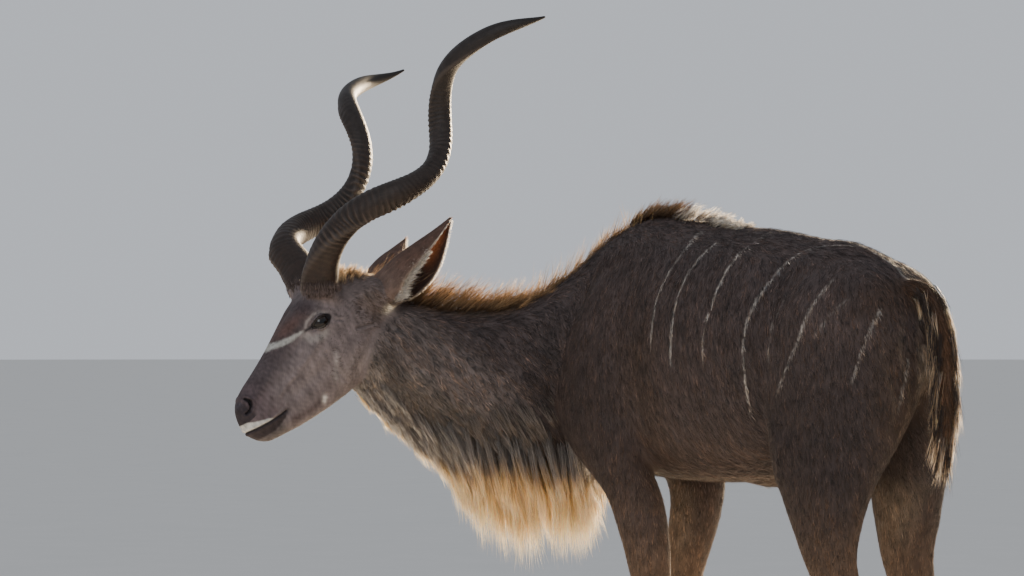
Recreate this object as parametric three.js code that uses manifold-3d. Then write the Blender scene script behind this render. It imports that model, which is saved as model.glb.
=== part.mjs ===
// A greater kudu bull, life size, standing with its neck bent round to its left and its head low.
// Units are millimetres, +Z is up, the trunk lies along X with the chest towards -X, and the animal's
// left side faces -Y. The floor is z = 0.
import * as THREE from "three";
import { mergeVertices } from "three/addons/utils/BufferGeometryUtils.js";
import Module from "manifold-3d";

const wasm = await Module();
wasm.setup();

// Driving sizes of the animal
const WITHERS_HEIGHT = 1366;
const BELLY_HEIGHT = 768;
const LEG_TOP = 745; // the level where the legs leave the body
const FETLOCK_HEIGHT = 125;
const CORONET_HEIGHT = 54; // top of the hooves
const GAP = 0.4; // clear space between touching pieces
const EYE_RADIUS = 20;
const EYE_OUT = 57; // from the middle plane of the head to the centre of the eye
const HORN_AXIS_LENGTH = 788; // straight line along the middle of the horn's spiral
const HORN_TURNS = 1.69;
const HORN_ROOT = {
  left: { t: -63, out: 52, h: 38, phase: -108.9, slide: 0 },
  right: { t: -56, out: 52, h: 67, phase: -91.9, slide: 33 },
};
const TAIL_DROP = 365; // from the root of the tail down to the end of its flesh
const HOOF_WIDTH = 29;
const CLEFT = 4; // between the two claws of a hoof

// Posture of the head: the point between the eyes, and how far it is turned, lowered and tipped
const HEAD_PLACE = new THREE.Vector3(-858, -636, 1121);
const HEAD_TURN = THREE.MathUtils.degToRad(84); // from straight ahead, to its left
const HEAD_PITCH = THREE.MathUtils.degToRad(45);
const HEAD_ROLL = THREE.MathUtils.degToRad(9); // left side raised

const COLOURS = {
  coat: 0x7b6a5c,
  face: 0x6f5c50,
  mane: 0x6b4e35,
  horn: 0x4a3d33,
  hoof: 0x2a2523,
  eye: 0x0c0908,
  tail: 0x5f4a3a,
  leg: 0x86684c,
};

const UP = new THREE.Vector3(0, 0, 1);
const LEVEL = new THREE.Quaternion();
const SIDES = { left: -1, right: 1 }; // sign of y

// A seeded source of numbers from 0 to 1
function numberSource(seed) {
  let state = seed;
  return () => {
    state = (state + 0x6d2b79f5) | 0;
    let t = Math.imul(state ^ (state >>> 15), 1 | state);
    t = (t + Math.imul(t ^ (t >>> 7), 61 | t)) ^ t;
    return ((t ^ (t >>> 14)) >>> 0) / 4294967296;
  };
}

const spread = (source, size) => (source() * 2 - 1) * size;
const mix = (a, b, share) => a + (b - a) * share;
const evenly = (count) => Array.from({ length: count }, (_, i) => i / (count - 1));

// Smooth solids: rows of sizes, read as curves between the rows

function smooth(rows, along) {
  const keys = Object.keys(rows[0]).filter((key) => key !== along);
  const places = rows.map((row) => row[along]);
  const values = rows.flatMap((row) => keys.map((key) => row[key]));
  const curve = new THREE.CubicInterpolant(places, values, keys.length);
  return (place) => {
    const found = curve.evaluate(THREE.MathUtils.clamp(place, places[0], places.at(-1)));
    return Object.fromEntries(keys.map((key, i) => [key, found[i]]));
  };
}

// A point round an egg-shaped section: half wide, rise above and drop below its widest line
function sectionPoint({ half, rise, drop, crown = 2, keel = 2 }, angle, grow) {
  const [c, s] = [Math.cos(angle), Math.sin(angle)];
  const power = 2 / (s > 0 ? crown : keel);
  return [
    Math.sign(c) * Math.abs(c) ** power * (half + grow),
    Math.sign(s) * Math.abs(s) ** power * ((s > 0 ? rise : drop) + grow),
  ];
}

// A form whose section follows rows of sizes; frame says where each section stands. A solid of it
// has a ring at each row and between rows wherever they are more than a pace apart.
function form({ rows, along, frame, sides, pace, bulge = () => 0 }) {
  const read = smooth(rows, along);
  const ends = [rows[0][along], rows.at(-1)[along]];
  const point = (place, angle, grow = 0) => {
    const { centre, side, up, section } = frame(place, read(place));
    const [a, b] = sectionPoint(section, angle, grow);
    const lift = 1 + bulge(place, a, b) / Math.max(Math.hypot(a, b), 1);
    return centre.clone().addScaledVector(side, a * lift).addScaledVector(up, b * lift);
  };
  const stations = (from, to) => {
    const inner = rows.map((row) => row[along]).filter((place) => place > from && place < to);
    const stops = [from, ...inner, to];
    const between = stops.slice(1).flatMap((stop, i) => {
      const count = Math.ceil((stop - stops[i]) / pace - 0.01);
      return Array.from({ length: count }, (_, k) => mix(stops[i], stop, (k + 1) / count));
    });
    return [from, ...between];
  };
  const solid = (grow = 0, from = ends[0], to = ends[1]) => {
    const rings = stations(from, to).map((place) =>
      Array.from({ length: sides }, (_, i) => point(place, (2 * Math.PI * (i + 0.5)) / sides, grow)),
    );
    return tube(grow > 0 ? longer(rings, grow) : rings);
  };
  return { point, solid, read };
}

// The same rings with the first and last moved outward
function longer(rings, grow) {
  const middle = (ring) =>
    ring.reduce((sum, p) => sum.addScaledVector(p, 1 / ring.length), new THREE.Vector3());
  const moved = (end, next) => {
    const outward = middle(end).sub(middle(next)).normalize().multiplyScalar(grow);
    return end.map((p) => p.clone().add(outward));
  };
  return [moved(rings[0], rings[1]), ...rings.slice(1, -1), moved(rings.at(-1), rings.at(-2))];
}

// Rings of points as one closed surface with flat ends
function tube(rings) {
  const sides = rings[0].length;
  const positions = rings.flat().flatMap((p) => [p.x, p.y, p.z]);
  const faces = [];
  for (let r = 0; r < rings.length - 1; r++) {
    for (let i = 0; i < sides; i++) {
      const [a, b] = [r * sides + i, r * sides + ((i + 1) % sides)];
      faces.push(a, b, b + sides, a, b + sides, a + sides);
    }
  }
  for (const [ring, flip] of [[0, true], [rings.length - 1, false]]) {
    const middle = new THREE.Vector3();
    rings[ring].forEach((p) => middle.addScaledVector(p, 1 / sides));
    const hub = positions.length / 3;
    positions.push(middle.x, middle.y, middle.z);
    for (let i = 0; i < sides; i++) {
      const [a, b] = [ring * sides + i, ring * sides + ((i + 1) % sides)];
      faces.push(...(flip ? [b, a, hub] : [a, b, hub]));
    }
  }
  const geometry = new THREE.BufferGeometry();
  geometry.setAttribute("position", new THREE.Float32BufferAttribute(positions, 3));
  geometry.setIndex(faces);
  return solidOf(geometry);
}

// A geometry as a solid that can be joined and cut
function solidOf(geometry) {
  const bare = new THREE.BufferGeometry();
  bare.setAttribute("position", geometry.getAttribute("position"));
  bare.setIndex(geometry.getIndex());
  const merged = mergeVertices(bare, 1e-4);
  const build = (faces) =>
    new wasm.Manifold(
      new wasm.Mesh({
        numProp: 3,
        vertProperties: merged.getAttribute("position").array,
        triVerts: faces,
      }),
    );
  const faces = new Uint32Array(merged.getIndex().array);
  const made = build(faces);
  return made.volume() > 0 ? made : build(faces.reverse());
}

// The largest closed body of a solid
function largest(solid) {
  return solid.decompose().reduce((best, body) => (body.volume() > best.volume() ? body : best));
}

function joined(...solids) {
  return solids.flat().reduce((all, one) => all.add(one));
}

// A ball stretched along three directions, at a place; detail is its facets round and down
const SMALL_BALL = [12, 8];
const TINY_BALL = [6, 4];

function ball(place, sizes, turn, detail) {
  const geometry = new THREE.SphereGeometry(1, ...detail);
  geometry.applyMatrix4(
    new THREE.Matrix4().compose(place, turn, new THREE.Vector3(...sizes)),
  );
  return solidOf(geometry);
}

// Trunk: upright sections along X, from the breastbone to the buttocks

const TRUNK_WIDEST = 0.52; // share of the height where a section is widest
const TRUNK_KEEL = 2.15; // how full the underside is; 2 is an ellipse

const trunk = form({
  rows: [
    { x: -632, top: 1060, bottom: 930, half: 48, crown: 2.0 },
    { x: -600, top: 1185, bottom: 858, half: 98, crown: 2.0 },
    { x: -520, top: 1310, bottom: 798, half: 138, crown: 1.9 },
    { x: -430, top: 1358, bottom: 778, half: 160, crown: 1.7 },
    { x: -341, top: WITHERS_HEIGHT, bottom: BELLY_HEIGHT, half: 176, crown: 1.6 },
    { x: -230, top: 1355, bottom: BELLY_HEIGHT - 4, half: 196, crown: 1.7 },
    { x: -88, top: 1340, bottom: BELLY_HEIGHT - 2, half: 214, crown: 1.85 },
    { x: 55, top: 1331, bottom: BELLY_HEIGHT + 6, half: 218, crown: 1.9 },
    { x: 200, top: 1311, bottom: 800, half: 206, crown: 1.8 },
    { x: 300, top: 1303, bottom: 832, half: 186, crown: 1.8 },
    { x: 400, top: 1270, bottom: 872, half: 148, crown: 1.9 },
    { x: 470, top: 1232, bottom: 915, half: 114, crown: 2.0 },
    { x: 530, top: 1178, bottom: 965, half: 70, crown: 2.0 },
    { x: 568, top: 1118, bottom: 1015, half: 34, crown: 2.0 },
  ],
  along: "x",
  sides: 24,
  pace: 75,
  frame: (x, { top, bottom, half, crown }) => {
    const widest = mix(bottom, top, TRUNK_WIDEST);
    return {
      centre: new THREE.Vector3(x, 0, widest),
      side: new THREE.Vector3(0, -1, 0),
      up: UP,
      section: { half, rise: top - widest, drop: widest - bottom, crown, keel: TRUNK_KEEL },
    };
  },
});

// Limbs: level sections stacked down Z. dx moves a section along the trunk, toeIn turns it, and the
// step from the place at the body to the place of the foot is taken between two levels.

const LIMB_STEP = { from: 450, to: 900 };

function limb({ rows, sign, top, foot }) {
  return form({
    rows: [...rows].sort((a, b) => a.z - b.z),
    along: "z",
    sides: 12,
    pace: 66,
    frame: (z, { dx, y, front, back, half, toeIn }) => {
      const drift = mix(foot, top, THREE.MathUtils.smoothstep(z, LIMB_STEP.from, LIMB_STEP.to));
      return {
        centre: new THREE.Vector3(dx + drift, sign * y, z),
        side: new THREE.Vector3(0, sign, 0),
        up: new THREE.Vector3(-1, sign * toeIn, 0),
        section: { half, rise: front, drop: back },
      };
    },
  });
}

const FORELIMB = [
  { z: 1296, dx: -24, y: 52, front: 26, back: 34, half: 20, toeIn: 0 },
  { z: 1262, dx: -36, y: 72, front: 62, back: 70, half: 40, toeIn: -0.05 },
  { z: 1170, dx: -66, y: 104, front: 112, back: 118, half: 62, toeIn: -0.12 },
  { z: 1040, dx: -98, y: 126, front: 142, back: 142, half: 72, toeIn: -0.14 },
  { z: 930, dx: -106, y: 134, front: 150, back: 146, half: 72, toeIn: -0.12 },
  { z: 840, dx: -64, y: 132, front: 128, back: 118, half: 66, toeIn: -0.06 },
  { z: LEG_TOP, dx: 0, y: 126, front: 84, back: 80, half: 60, toeIn: 0 },
  { z: 650, dx: 8, y: 121, front: 68, back: 70, half: 54, toeIn: 0 },
  { z: 560, dx: 2, y: 117, front: 54, back: 56, half: 46, toeIn: 0 },
  { z: 470, dx: 0, y: 114, front: 42, back: 42, half: 38, toeIn: 0 },
  { z: 415, dx: -2, y: 113, front: 45, back: 38, half: 39, toeIn: 0 },
  { z: 355, dx: 0, y: 112, front: 33, back: 33, half: 31, toeIn: 0 },
  { z: 250, dx: 0, y: 111, front: 26, back: 29, half: 24, toeIn: 0 },
  { z: 165, dx: -1, y: 110, front: 27, back: 31, half: 25, toeIn: 0 },
  { z: FETLOCK_HEIGHT, dx: -3, y: 110, front: 34, back: 38, half: 32, toeIn: 0 },
  { z: 88, dx: -14, y: 110, front: 32, back: 30, half: 29, toeIn: 0 },
  { z: CORONET_HEIGHT, dx: -24, y: 110, front: 42, back: 34, half: 31, toeIn: 0 },
];

const HINDLIMB = [
  { z: 1256, dx: -36, y: 58, front: 44, back: 44, half: 24, toeIn: 0.1 },
  { z: 1226, dx: -24, y: 74, front: 100, back: 96, half: 54, toeIn: 0.25 },
  { z: 1170, dx: -8, y: 86, front: 148, back: 142, half: 76, toeIn: 0.36 },
  { z: 1070, dx: 0, y: 90, front: 184, back: 170, half: 80, toeIn: 0.4 },
  { z: 960, dx: -4, y: 96, front: 186, back: 168, half: 80, toeIn: 0.36 },
  { z: 860, dx: -22, y: 106, front: 168, back: 150, half: 76, toeIn: 0.26 },
  { z: LEG_TOP + 25, dx: -34, y: 116, front: 132, back: 120, half: 68, toeIn: 0.14 },
  { z: 690, dx: -34, y: 121, front: 100, back: 94, half: 57, toeIn: 0.06 },
  { z: 610, dx: -24, y: 122, front: 74, back: 76, half: 47, toeIn: 0 },
  { z: 540, dx: 2, y: 120, front: 55, back: 64, half: 40, toeIn: 0 },
  { z: 480, dx: 27, y: 118, front: 46, back: 58, half: 38, toeIn: 0 },
  { z: 425, dx: 30, y: 116, front: 37, back: 42, half: 33, toeIn: 0 },
  { z: 350, dx: 26, y: 115, front: 29, back: 32, half: 26, toeIn: 0 },
  { z: 250, dx: 20, y: 114, front: 26, back: 29, half: 24, toeIn: 0 },
  { z: 165, dx: 14, y: 113, front: 28, back: 31, half: 26, toeIn: 0 },
  { z: FETLOCK_HEIGHT, dx: 11, y: 113, front: 34, back: 38, half: 32, toeIn: 0 },
  { z: 88, dx: 0, y: 113, front: 32, back: 30, half: 29, toeIn: 0 },
  { z: CORONET_HEIGHT, dx: -10, y: 113, front: 42, back: 34, half: 31, toeIn: 0 },
];

// Where each limb meets the body and the floor, along X
const STANCE = {
  foreleg_left: { rows: FORELIMB, sign: SIDES.left, top: -338, foot: -250 },
  foreleg_right: { rows: FORELIMB, sign: SIDES.right, top: -385, foot: -452 },
  hindleg_left: { rows: HINDLIMB, sign: SIDES.left, top: 392, foot: 404 },
  hindleg_right: { rows: HINDLIMB, sign: SIDES.right, top: 392, foot: 352 },
};

const limbs = Object.fromEntries(
  Object.entries(STANCE).map(([name, stance]) => [name, limb(stance)]),
);

// Neck: upright sections along a path that bends to the left

const NECK_SPLIT = 0.5; // share of the path where the neck is parted in two
const NECK_WIDEST = 0.5; // share of the height where a section is widest
const NECK_PATH = new THREE.CatmullRomCurve3(
  [
    [-400, 0],
    [-520, -22],
    [-604, -84],
    [-683, -190],
    [-752, -300],
    [-806, -400],
    [-838, -470],
    [-852, -530],
  ].map(([x, y]) => new THREE.Vector3(x, y, 0)),
);

// The way ahead along the neck and the way out to its left, both level
function neckDirections(v) {
  const ahead = NECK_PATH.getTangent(v);
  return { ahead, side: new THREE.Vector3(-ahead.y, ahead.x, 0) };
}

const neck = form({
  rows: [
    { v: 0, top: 1335, bottom: 860, half: 128, crown: 1.7 },
    { v: 1 / 7, top: 1320, bottom: 812, half: 138, crown: 1.7 },
    { v: 2 / 7, top: 1236, bottom: 792, half: 130, crown: 1.75 },
    { v: 3 / 7, top: 1162, bottom: 796, half: 114, crown: 1.8 },
    { v: 4 / 7, top: 1156, bottom: 824, half: 102, crown: 1.9 },
    { v: 5 / 7, top: 1174, bottom: 880, half: 92, crown: 2.0 },
    { v: 6 / 7, top: 1194, bottom: 934, half: 82, crown: 2.0 },
    { v: 1, top: 1190, bottom: 990, half: 60, crown: 2.0 },
  ],
  along: "v",
  sides: 22,
  pace: 0.075,
  frame: (v, { top, bottom, half, crown }) => {
    const centre = NECK_PATH.getPoint(v);
    const { side } = neckDirections(v);
    const widest = mix(bottom, top, NECK_WIDEST);
    centre.z = widest;
    return {
      centre,
      side,
      up: UP,
      section: { half, rise: top - widest, drop: widest - bottom, crown, keel: 2 },
    };
  },
});

// Head: its own directions, forward to the nose, up through the forehead, and out to its left

const headAhead = new THREE.Vector3(-Math.cos(HEAD_TURN), -Math.sin(HEAD_TURN), 0);
const headLeftLevel = new THREE.Vector3().crossVectors(UP, headAhead);
const headForward = headAhead
  .clone()
  .multiplyScalar(Math.cos(HEAD_PITCH))
  .addScaledVector(UP, -Math.sin(HEAD_PITCH));
const headLeft = headLeftLevel.clone().applyAxisAngle(headForward, HEAD_ROLL);
const headUp = new THREE.Vector3().crossVectors(headForward, headLeft);
const HEAD_TURN_AS_QUATERNION = new THREE.Quaternion().setFromRotationMatrix(
  new THREE.Matrix4().makeBasis(headForward, headLeft, headUp),
);

// A place on the head: forward, to its left, and up from the point between the eyes
function onHead(forward, left, up) {
  return HEAD_PLACE.clone()
    .addScaledVector(headForward, forward)
    .addScaledVector(headLeft, left)
    .addScaledVector(headUp, up);
}

// Soft swellings of the head: brow, cheekbone, cheek, horn root, nostril rim and lips
const SWELLINGS = [
  { t: 2, left: 62, h: 22, lift: 8, size: 26 },
  { t: -30, left: 62, h: -14, lift: 6, size: 30 },
  { t: 22, left: 52, h: -95, lift: 6, size: 46 },
  { t: -58, left: 54, h: 36, lift: 12, size: 34 },
  { t: 246, left: 30, h: -12, lift: 5, size: 18 },
  { t: 250, left: 26, h: -56, lift: 4, size: 20 },
];

function headBulge(t, left, h) {
  return SWELLINGS.reduce((sum, one) => {
    const away = (t - one.t) ** 2 + (Math.abs(left) - one.left) ** 2 + (h - one.h) ** 2;
    return sum + one.lift * Math.exp(-away / one.size ** 2);
  }, 0);
}

const SKULL_ROWS = [
  { t: -196, top: -44, bottom: -116, half: 34, widest: -76, crown: 2.0, keel: 2.0 },
  { t: -172, top: -10, bottom: -142, half: 56, widest: -70, crown: 2.1, keel: 2.0 },
  { t: -125, top: 32, bottom: -166, half: 68, widest: -52, crown: 2.4, keel: 1.9 },
  { t: -65, top: 54, bottom: -182, half: 70, widest: -36, crown: 2.8, keel: 1.8 },
  { t: 0, top: 54, bottom: -186, half: 66, widest: -22, crown: 3.2, keel: 1.7 },
  { t: 45, top: 47, bottom: -182, half: 58, widest: -28, crown: 2.8, keel: 1.7 },
  { t: 88, top: 38, bottom: -174, half: 50, widest: -38, crown: 2.4, keel: 1.7 },
  { t: 135, top: 28, bottom: -163, half: 43, widest: -46, crown: 2.3, keel: 1.8 },
  { t: 182, top: 20, bottom: -149, half: 38, widest: -52, crown: 2.3, keel: 1.9 },
  { t: 222, top: 14, bottom: -134, half: 36, widest: -54, crown: 2.2, keel: 2.0 },
  { t: 250, top: 5, bottom: -123, half: 34, widest: -54, crown: 2.1, keel: 2.0 },
  { t: 270, top: -10, bottom: -112, half: 28, widest: -56, crown: 2.0, keel: 2.0 },
  { t: 284, top: -33, bottom: -90, half: 17, widest: -60, crown: 2.0, keel: 2.0 },
  { t: 290, top: -50, bottom: -75, half: 8, widest: -62, crown: 2.0, keel: 2.0 },
];
const skullSizes = smooth(SKULL_ROWS, "t");

const skull = form({
  rows: SKULL_ROWS,
  along: "t",
  sides: 26,
  pace: 32,
  bulge: (t, left, rise) => headBulge(t, left, rise + skullSizes(t).widest),
  frame: (t, { top, bottom, half, widest, crown, keel }) => ({
    centre: onHead(t, 0, widest),
    side: headLeft,
    up: headUp,
    section: { half, rise: top - widest, drop: widest - bottom, crown, keel },
  }),
});

// How far out the side of the head stands at a place seen from the side
function headSide(t, h) {
  const { top, bottom, half, widest, crown, keel } = skullSizes(t);
  const share = h > widest ? (h - widest) / (top - widest) : (widest - h) / (widest - bottom);
  const power = h > widest ? crown : keel;
  const out = half * (1 - Math.min(share, 0.999) ** power) ** (1 / power);
  return out + headBulge(t, out, h);
}

// A round cord through points with a thickness at each; closed makes it a ring
function cord(points, radii, sides, closed = false) {
  const curve = new THREE.CatmullRomCurve3(points, closed);
  const count = points.length;
  const { normals, binormals } = curve.computeFrenetFrames(closed ? count : count - 1, closed);
  const rings = points.map((p, i) =>
    Array.from({ length: sides }, (_, k) => {
      const angle = (2 * Math.PI * k) / sides;
      return p
        .clone()
        .addScaledVector(normals[i], Math.cos(angle) * radii[i])
        .addScaledVector(binormals[i], Math.sin(angle) * radii[i]);
    }),
  );
  return closed ? hoop(rings) : tube(rings);
}

// Rings of points joined end to end, as a hoop
function hoop(rings) {
  const sides = rings[0].length;
  const positions = rings.flat().flatMap((p) => [p.x, p.y, p.z]);
  const faces = [];
  rings.forEach((_, r) => {
    const next = ((r + 1) % rings.length) * sides;
    for (let i = 0; i < sides; i++) {
      const k = (i + 1) % sides;
      faces.push(r * sides + i, r * sides + k, next + k, r * sides + i, next + k, next + i);
    }
  });
  const geometry = new THREE.BufferGeometry();
  geometry.setAttribute("position", new THREE.Float32BufferAttribute(positions, 3));
  geometry.setIndex(faces);
  return solidOf(geometry);
}

// Eyes, with their lids as a rim round an almond opening

const EYE_AT = { t: -3, h: -9 };
const EYE_SLANT = THREE.MathUtils.degToRad(20); // the opening's long line against the nose
const OPENING = { long: 18.5, upper: 12.5, lower: 11 };
const LID = { upper: 4.6, lower: 3.6, stations: 18, sides: 6 }; // half thickness of each lid

const eyeCentre = (sign) => onHead(EYE_AT.t, -sign * EYE_OUT, EYE_AT.h);

function eyeball(sign, radius) {
  return ball(eyeCentre(sign), [radius, radius, radius], HEAD_TURN_AS_QUATERNION, SMALL_BALL);
}

function lids(sign) {
  const places = Array.from({ length: LID.stations }, (_, i) => (2 * Math.PI * i) / LID.stations);
  const thickness = places.map((angle) => (Math.sin(angle) > 0 ? LID.upper : LID.lower));
  const points = places.map((angle, i) => {
    const along = OPENING.long * Math.cos(angle);
    const rise = (Math.sin(angle) > 0 ? OPENING.upper : OPENING.lower) * Math.sin(angle);
    const [c, s] = [Math.cos(EYE_SLANT), Math.sin(EYE_SLANT)];
    const [t, h] = [along * c - rise * s, along * s + rise * c];
    const reach = EYE_RADIUS + thickness[i] + 2 * GAP;
    const out = Math.sqrt(Math.max(reach ** 2 - t ** 2 - h ** 2, 1));
    return onHead(EYE_AT.t + t, -sign * (EYE_OUT + out), EYE_AT.h + h);
  });
  return cord(points, thickness, LID.sides, true);
}

// The line of the mouth, from one corner round the lips to the other
const MOUTH = {
  side: [
    { t: 188, h: -89 },
    { t: 205, h: -85 },
    { t: 222, h: -80 },
    { t: 240, h: -74 },
    { t: 258, h: -69 },
    { t: 272, h: -65 },
    { t: 283, h: -62 },
  ],
  front: { t: 291, h: -62 },
  radius: 2.4,
  corner: 0.8, // its radius at the two corners
  sides: 6,
};

function mouthLine() {
  const side = (sign) =>
    MOUTH.side.map(({ t, h }) => onHead(t, -sign * (headSide(t, h) + GAP), h));
  const front = onHead(MOUTH.front.t, 0, MOUTH.front.h);
  const points = [...side(SIDES.left), front, ...side(SIDES.right).reverse()];
  const radii = points.map((_, i) =>
    i === 0 || i === points.length - 1 ? MOUTH.corner : MOUTH.radius,
  );
  return cord(points, radii, MOUTH.sides);
}

// A nostril: a slanting hollow with a slit running up and back from it
const NOSTRIL = {
  hollow: { t: 252, out: 29, h: -17, sizes: [9, 11, 6.5], lean: 0.5, splay: 0.5 },
  slit: [
    { t: 250, out: 31, h: -14, radius: 5 },
    { t: 240, out: 36, h: -6, radius: 3.4 },
    { t: 231, out: 36, h: -3, radius: 1 },
  ],
  sides: 6,
};

function nostril(sign) {
  const { hollow, slit, sides } = NOSTRIL;
  const place = ({ t, out, h }) => onHead(t, -sign * out, h);
  const turn = HEAD_TURN_AS_QUATERNION.clone().multiply(
    new THREE.Quaternion().setFromEuler(new THREE.Euler(0, hollow.lean, sign * hollow.splay)),
  );
  return joined(
    ball(place(hollow), hollow.sizes, turn, SMALL_BALL),
    cord(slit.map(place), slit.map(({ radius }) => radius), sides),
  );
}

// Horns: spirals that open outward, with ridges across and a keel that winds with them

const HORN_AXIS = { back: 0.922, up: 0.18, out: 0.344 }; // shares of the head's directions
const HORN_SIDES = 10;
const HORN_STATIONS = 40;
const HORN_KEEL = 1.16; // how far the keel stands out, as a share of the radius
const HORN_FLAT = 0.92; // the radius across the keel, as a share

function hornFrame(sign) {
  const outward = headLeft.clone().multiplyScalar(-sign);
  const axis = headForward
    .clone()
    .multiplyScalar(-HORN_AXIS.back)
    .addScaledVector(headUp, HORN_AXIS.up)
    .addScaledVector(outward, HORN_AXIS.out)
    .normalize();
  const first = headUp.clone().addScaledVector(axis, -headUp.dot(axis)).normalize();
  const second = outward
    .clone()
    .addScaledVector(axis, -outward.dot(axis))
    .addScaledVector(first, -outward.dot(first))
    .normalize();
  const { t, out, h, phase, slide } = sign === SIDES.left ? HORN_ROOT.left : HORN_ROOT.right;
  return { axis, first, second, root: onHead(t, -sign * out, h), phase, slide, sign };
}

// How far back the root of a horn slides, until the horn has come clear of the head
const HORN_SLIDE = { from: 0.04, until: 0.17 };

function hornPoint({ axis, first, second, root, phase, slide }, v) {
  const offset = (at) => {
    const radius = HORN_SPIRAL(at).radius;
    const angle = THREE.MathUtils.degToRad(phase) + 2 * Math.PI * HORN_TURNS * at;
    return [radius * Math.cos(angle), radius * Math.sin(angle)];
  };
  const [a, b] = offset(v).map((value, i) => value - offset(0)[i]);
  return root
    .clone()
    .addScaledVector(axis, v * HORN_AXIS_LENGTH)
    .addScaledVector(first, a)
    .addScaledVector(second, b)
    .addScaledVector(
      headAhead,
      slide * (THREE.MathUtils.smoothstep(v, HORN_SLIDE.from, HORN_SLIDE.until) - 1),
    );
}

const HORN_SPIRAL = smooth(
  [
    { v: 0, radius: 55.6 },
    { v: 0.12, radius: 38.4 },
    { v: 0.25, radius: 37.4 },
    { v: 0.4, radius: 52.5 },
    { v: 0.55, radius: 58.4 },
    { v: 0.7, radius: 49.1 },
    { v: 0.85, radius: 43.1 },
    { v: 1, radius: 74 },
  ],
  "v",
);
const HORN_THICKNESS = smooth(
  [
    { v: -0.07, radius: 39 },
    { v: 0, radius: 39 },
    { v: 0.1, radius: 37.5 },
    { v: 0.27, radius: 31.5 },
    { v: 0.44, radius: 27 },
    { v: 0.58, radius: 24 },
    { v: 0.73, radius: 22.5 },
    { v: 0.86, radius: 18 },
    { v: 0.94, radius: 11 },
    { v: 1, radius: 2.5 },
  ],
  "v",
);
const HORN_RIDGES = { fade: 0.57, until: 0.72, depth: 1.6 };

function hornDirections(place, v) {
  const centre = hornPoint(place, v);
  const ahead = hornPoint(place, v + 0.004).sub(centre).normalize();
  const across = place.axis.clone().cross(ahead).normalize();
  return { centre, ahead, across, outward: ahead.clone().cross(across).normalize() };
}

function hornRing({ centre, across, outward }, size, sign) {
  return Array.from({ length: HORN_SIDES }, (_, i) => {
    const angle = (2 * Math.PI * i) / HORN_SIDES;
    const keel = i === 0 ? HORN_KEEL : 1;
    return centre
      .clone()
      .addScaledVector(outward, -Math.cos(angle) * size * keel)
      .addScaledVector(across, Math.sin(angle) * size * HORN_FLAT * sign);
  });
}

function horn(sign) {
  const place = hornFrame(sign);
  const rings = evenly(HORN_STATIONS).map((v, station) => {
    const fade = 1 - THREE.MathUtils.smoothstep(v, HORN_RIDGES.fade, HORN_RIDGES.until);
    const ridge = HORN_RIDGES.depth * fade * (station % 2 ? 1 : -1);
    return hornRing(hornDirections(place, v), HORN_THICKNESS(v).radius + ridge, sign);
  });
  return tube(rings);
}

// The root of a horn, covered with skin, up from inside the head
const HORN_FOOT = { t: -58, out: 36, h: -6, radius: 32, proud: 2.5 };

function hornFoot(sign) {
  const top = hornDirections(hornFrame(sign), 0);
  const end = top.centre.clone().addScaledVector(top.ahead, -GAP);
  const start = onHead(HORN_FOOT.t, -sign * HORN_FOOT.out, HORN_FOOT.h);
  const rings = [0, 0.6, 1].map((share) => {
    const size = mix(HORN_FOOT.radius, HORN_THICKNESS(0).radius + HORN_FOOT.proud, share);
    return hornRing({ ...top, centre: start.clone().lerp(end, share) }, size, sign);
  });
  return tube(rings);
}

// Ears: long leaves rolled into a cup that opens outward

const EAR_POSE = {
  ear_left: { sign: SIDES.left, back: 141, rise: 173, out: 80 },
  ear_right: { sign: SIDES.right, back: 152, rise: 141, out: 80 },
};
const EAR_ROWS = [
  { v: 0, half: 25, deep: 25 },
  { v: 0.08, half: 30, deep: 30 },
  { v: 0.22, half: 42, deep: 36 },
  { v: 0.4, half: 50, deep: 36 },
  { v: 0.6, half: 44, deep: 28 },
  { v: 0.78, half: 28, deep: 18 },
  { v: 0.92, half: 13, deep: 9 },
  { v: 1, half: 4, deep: 4 },
];
const EAR_WALL = 5;
const EAR_HOLLOW = { from: 0.12, to: 0.97, shift: 0.75 };
const EAR_BACK = 1.75; // depth behind the widest line, as a share of the depth before it
const EAR_ROOT = { t: -152, out: 52, h: -78 };
const EAR_FACING = { ahead: -0.29, out: 0.79, up: -0.53 };
const EAR_CURL = 14; // how far the middle bows forward
const EAR_TIP_CURL = 0.6; // how far the tip comes back, as a share of that
const EAR_SWEEP = { back: 17, down: 14, pace: 0.75 }; // how far the middle hangs out of line

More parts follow.
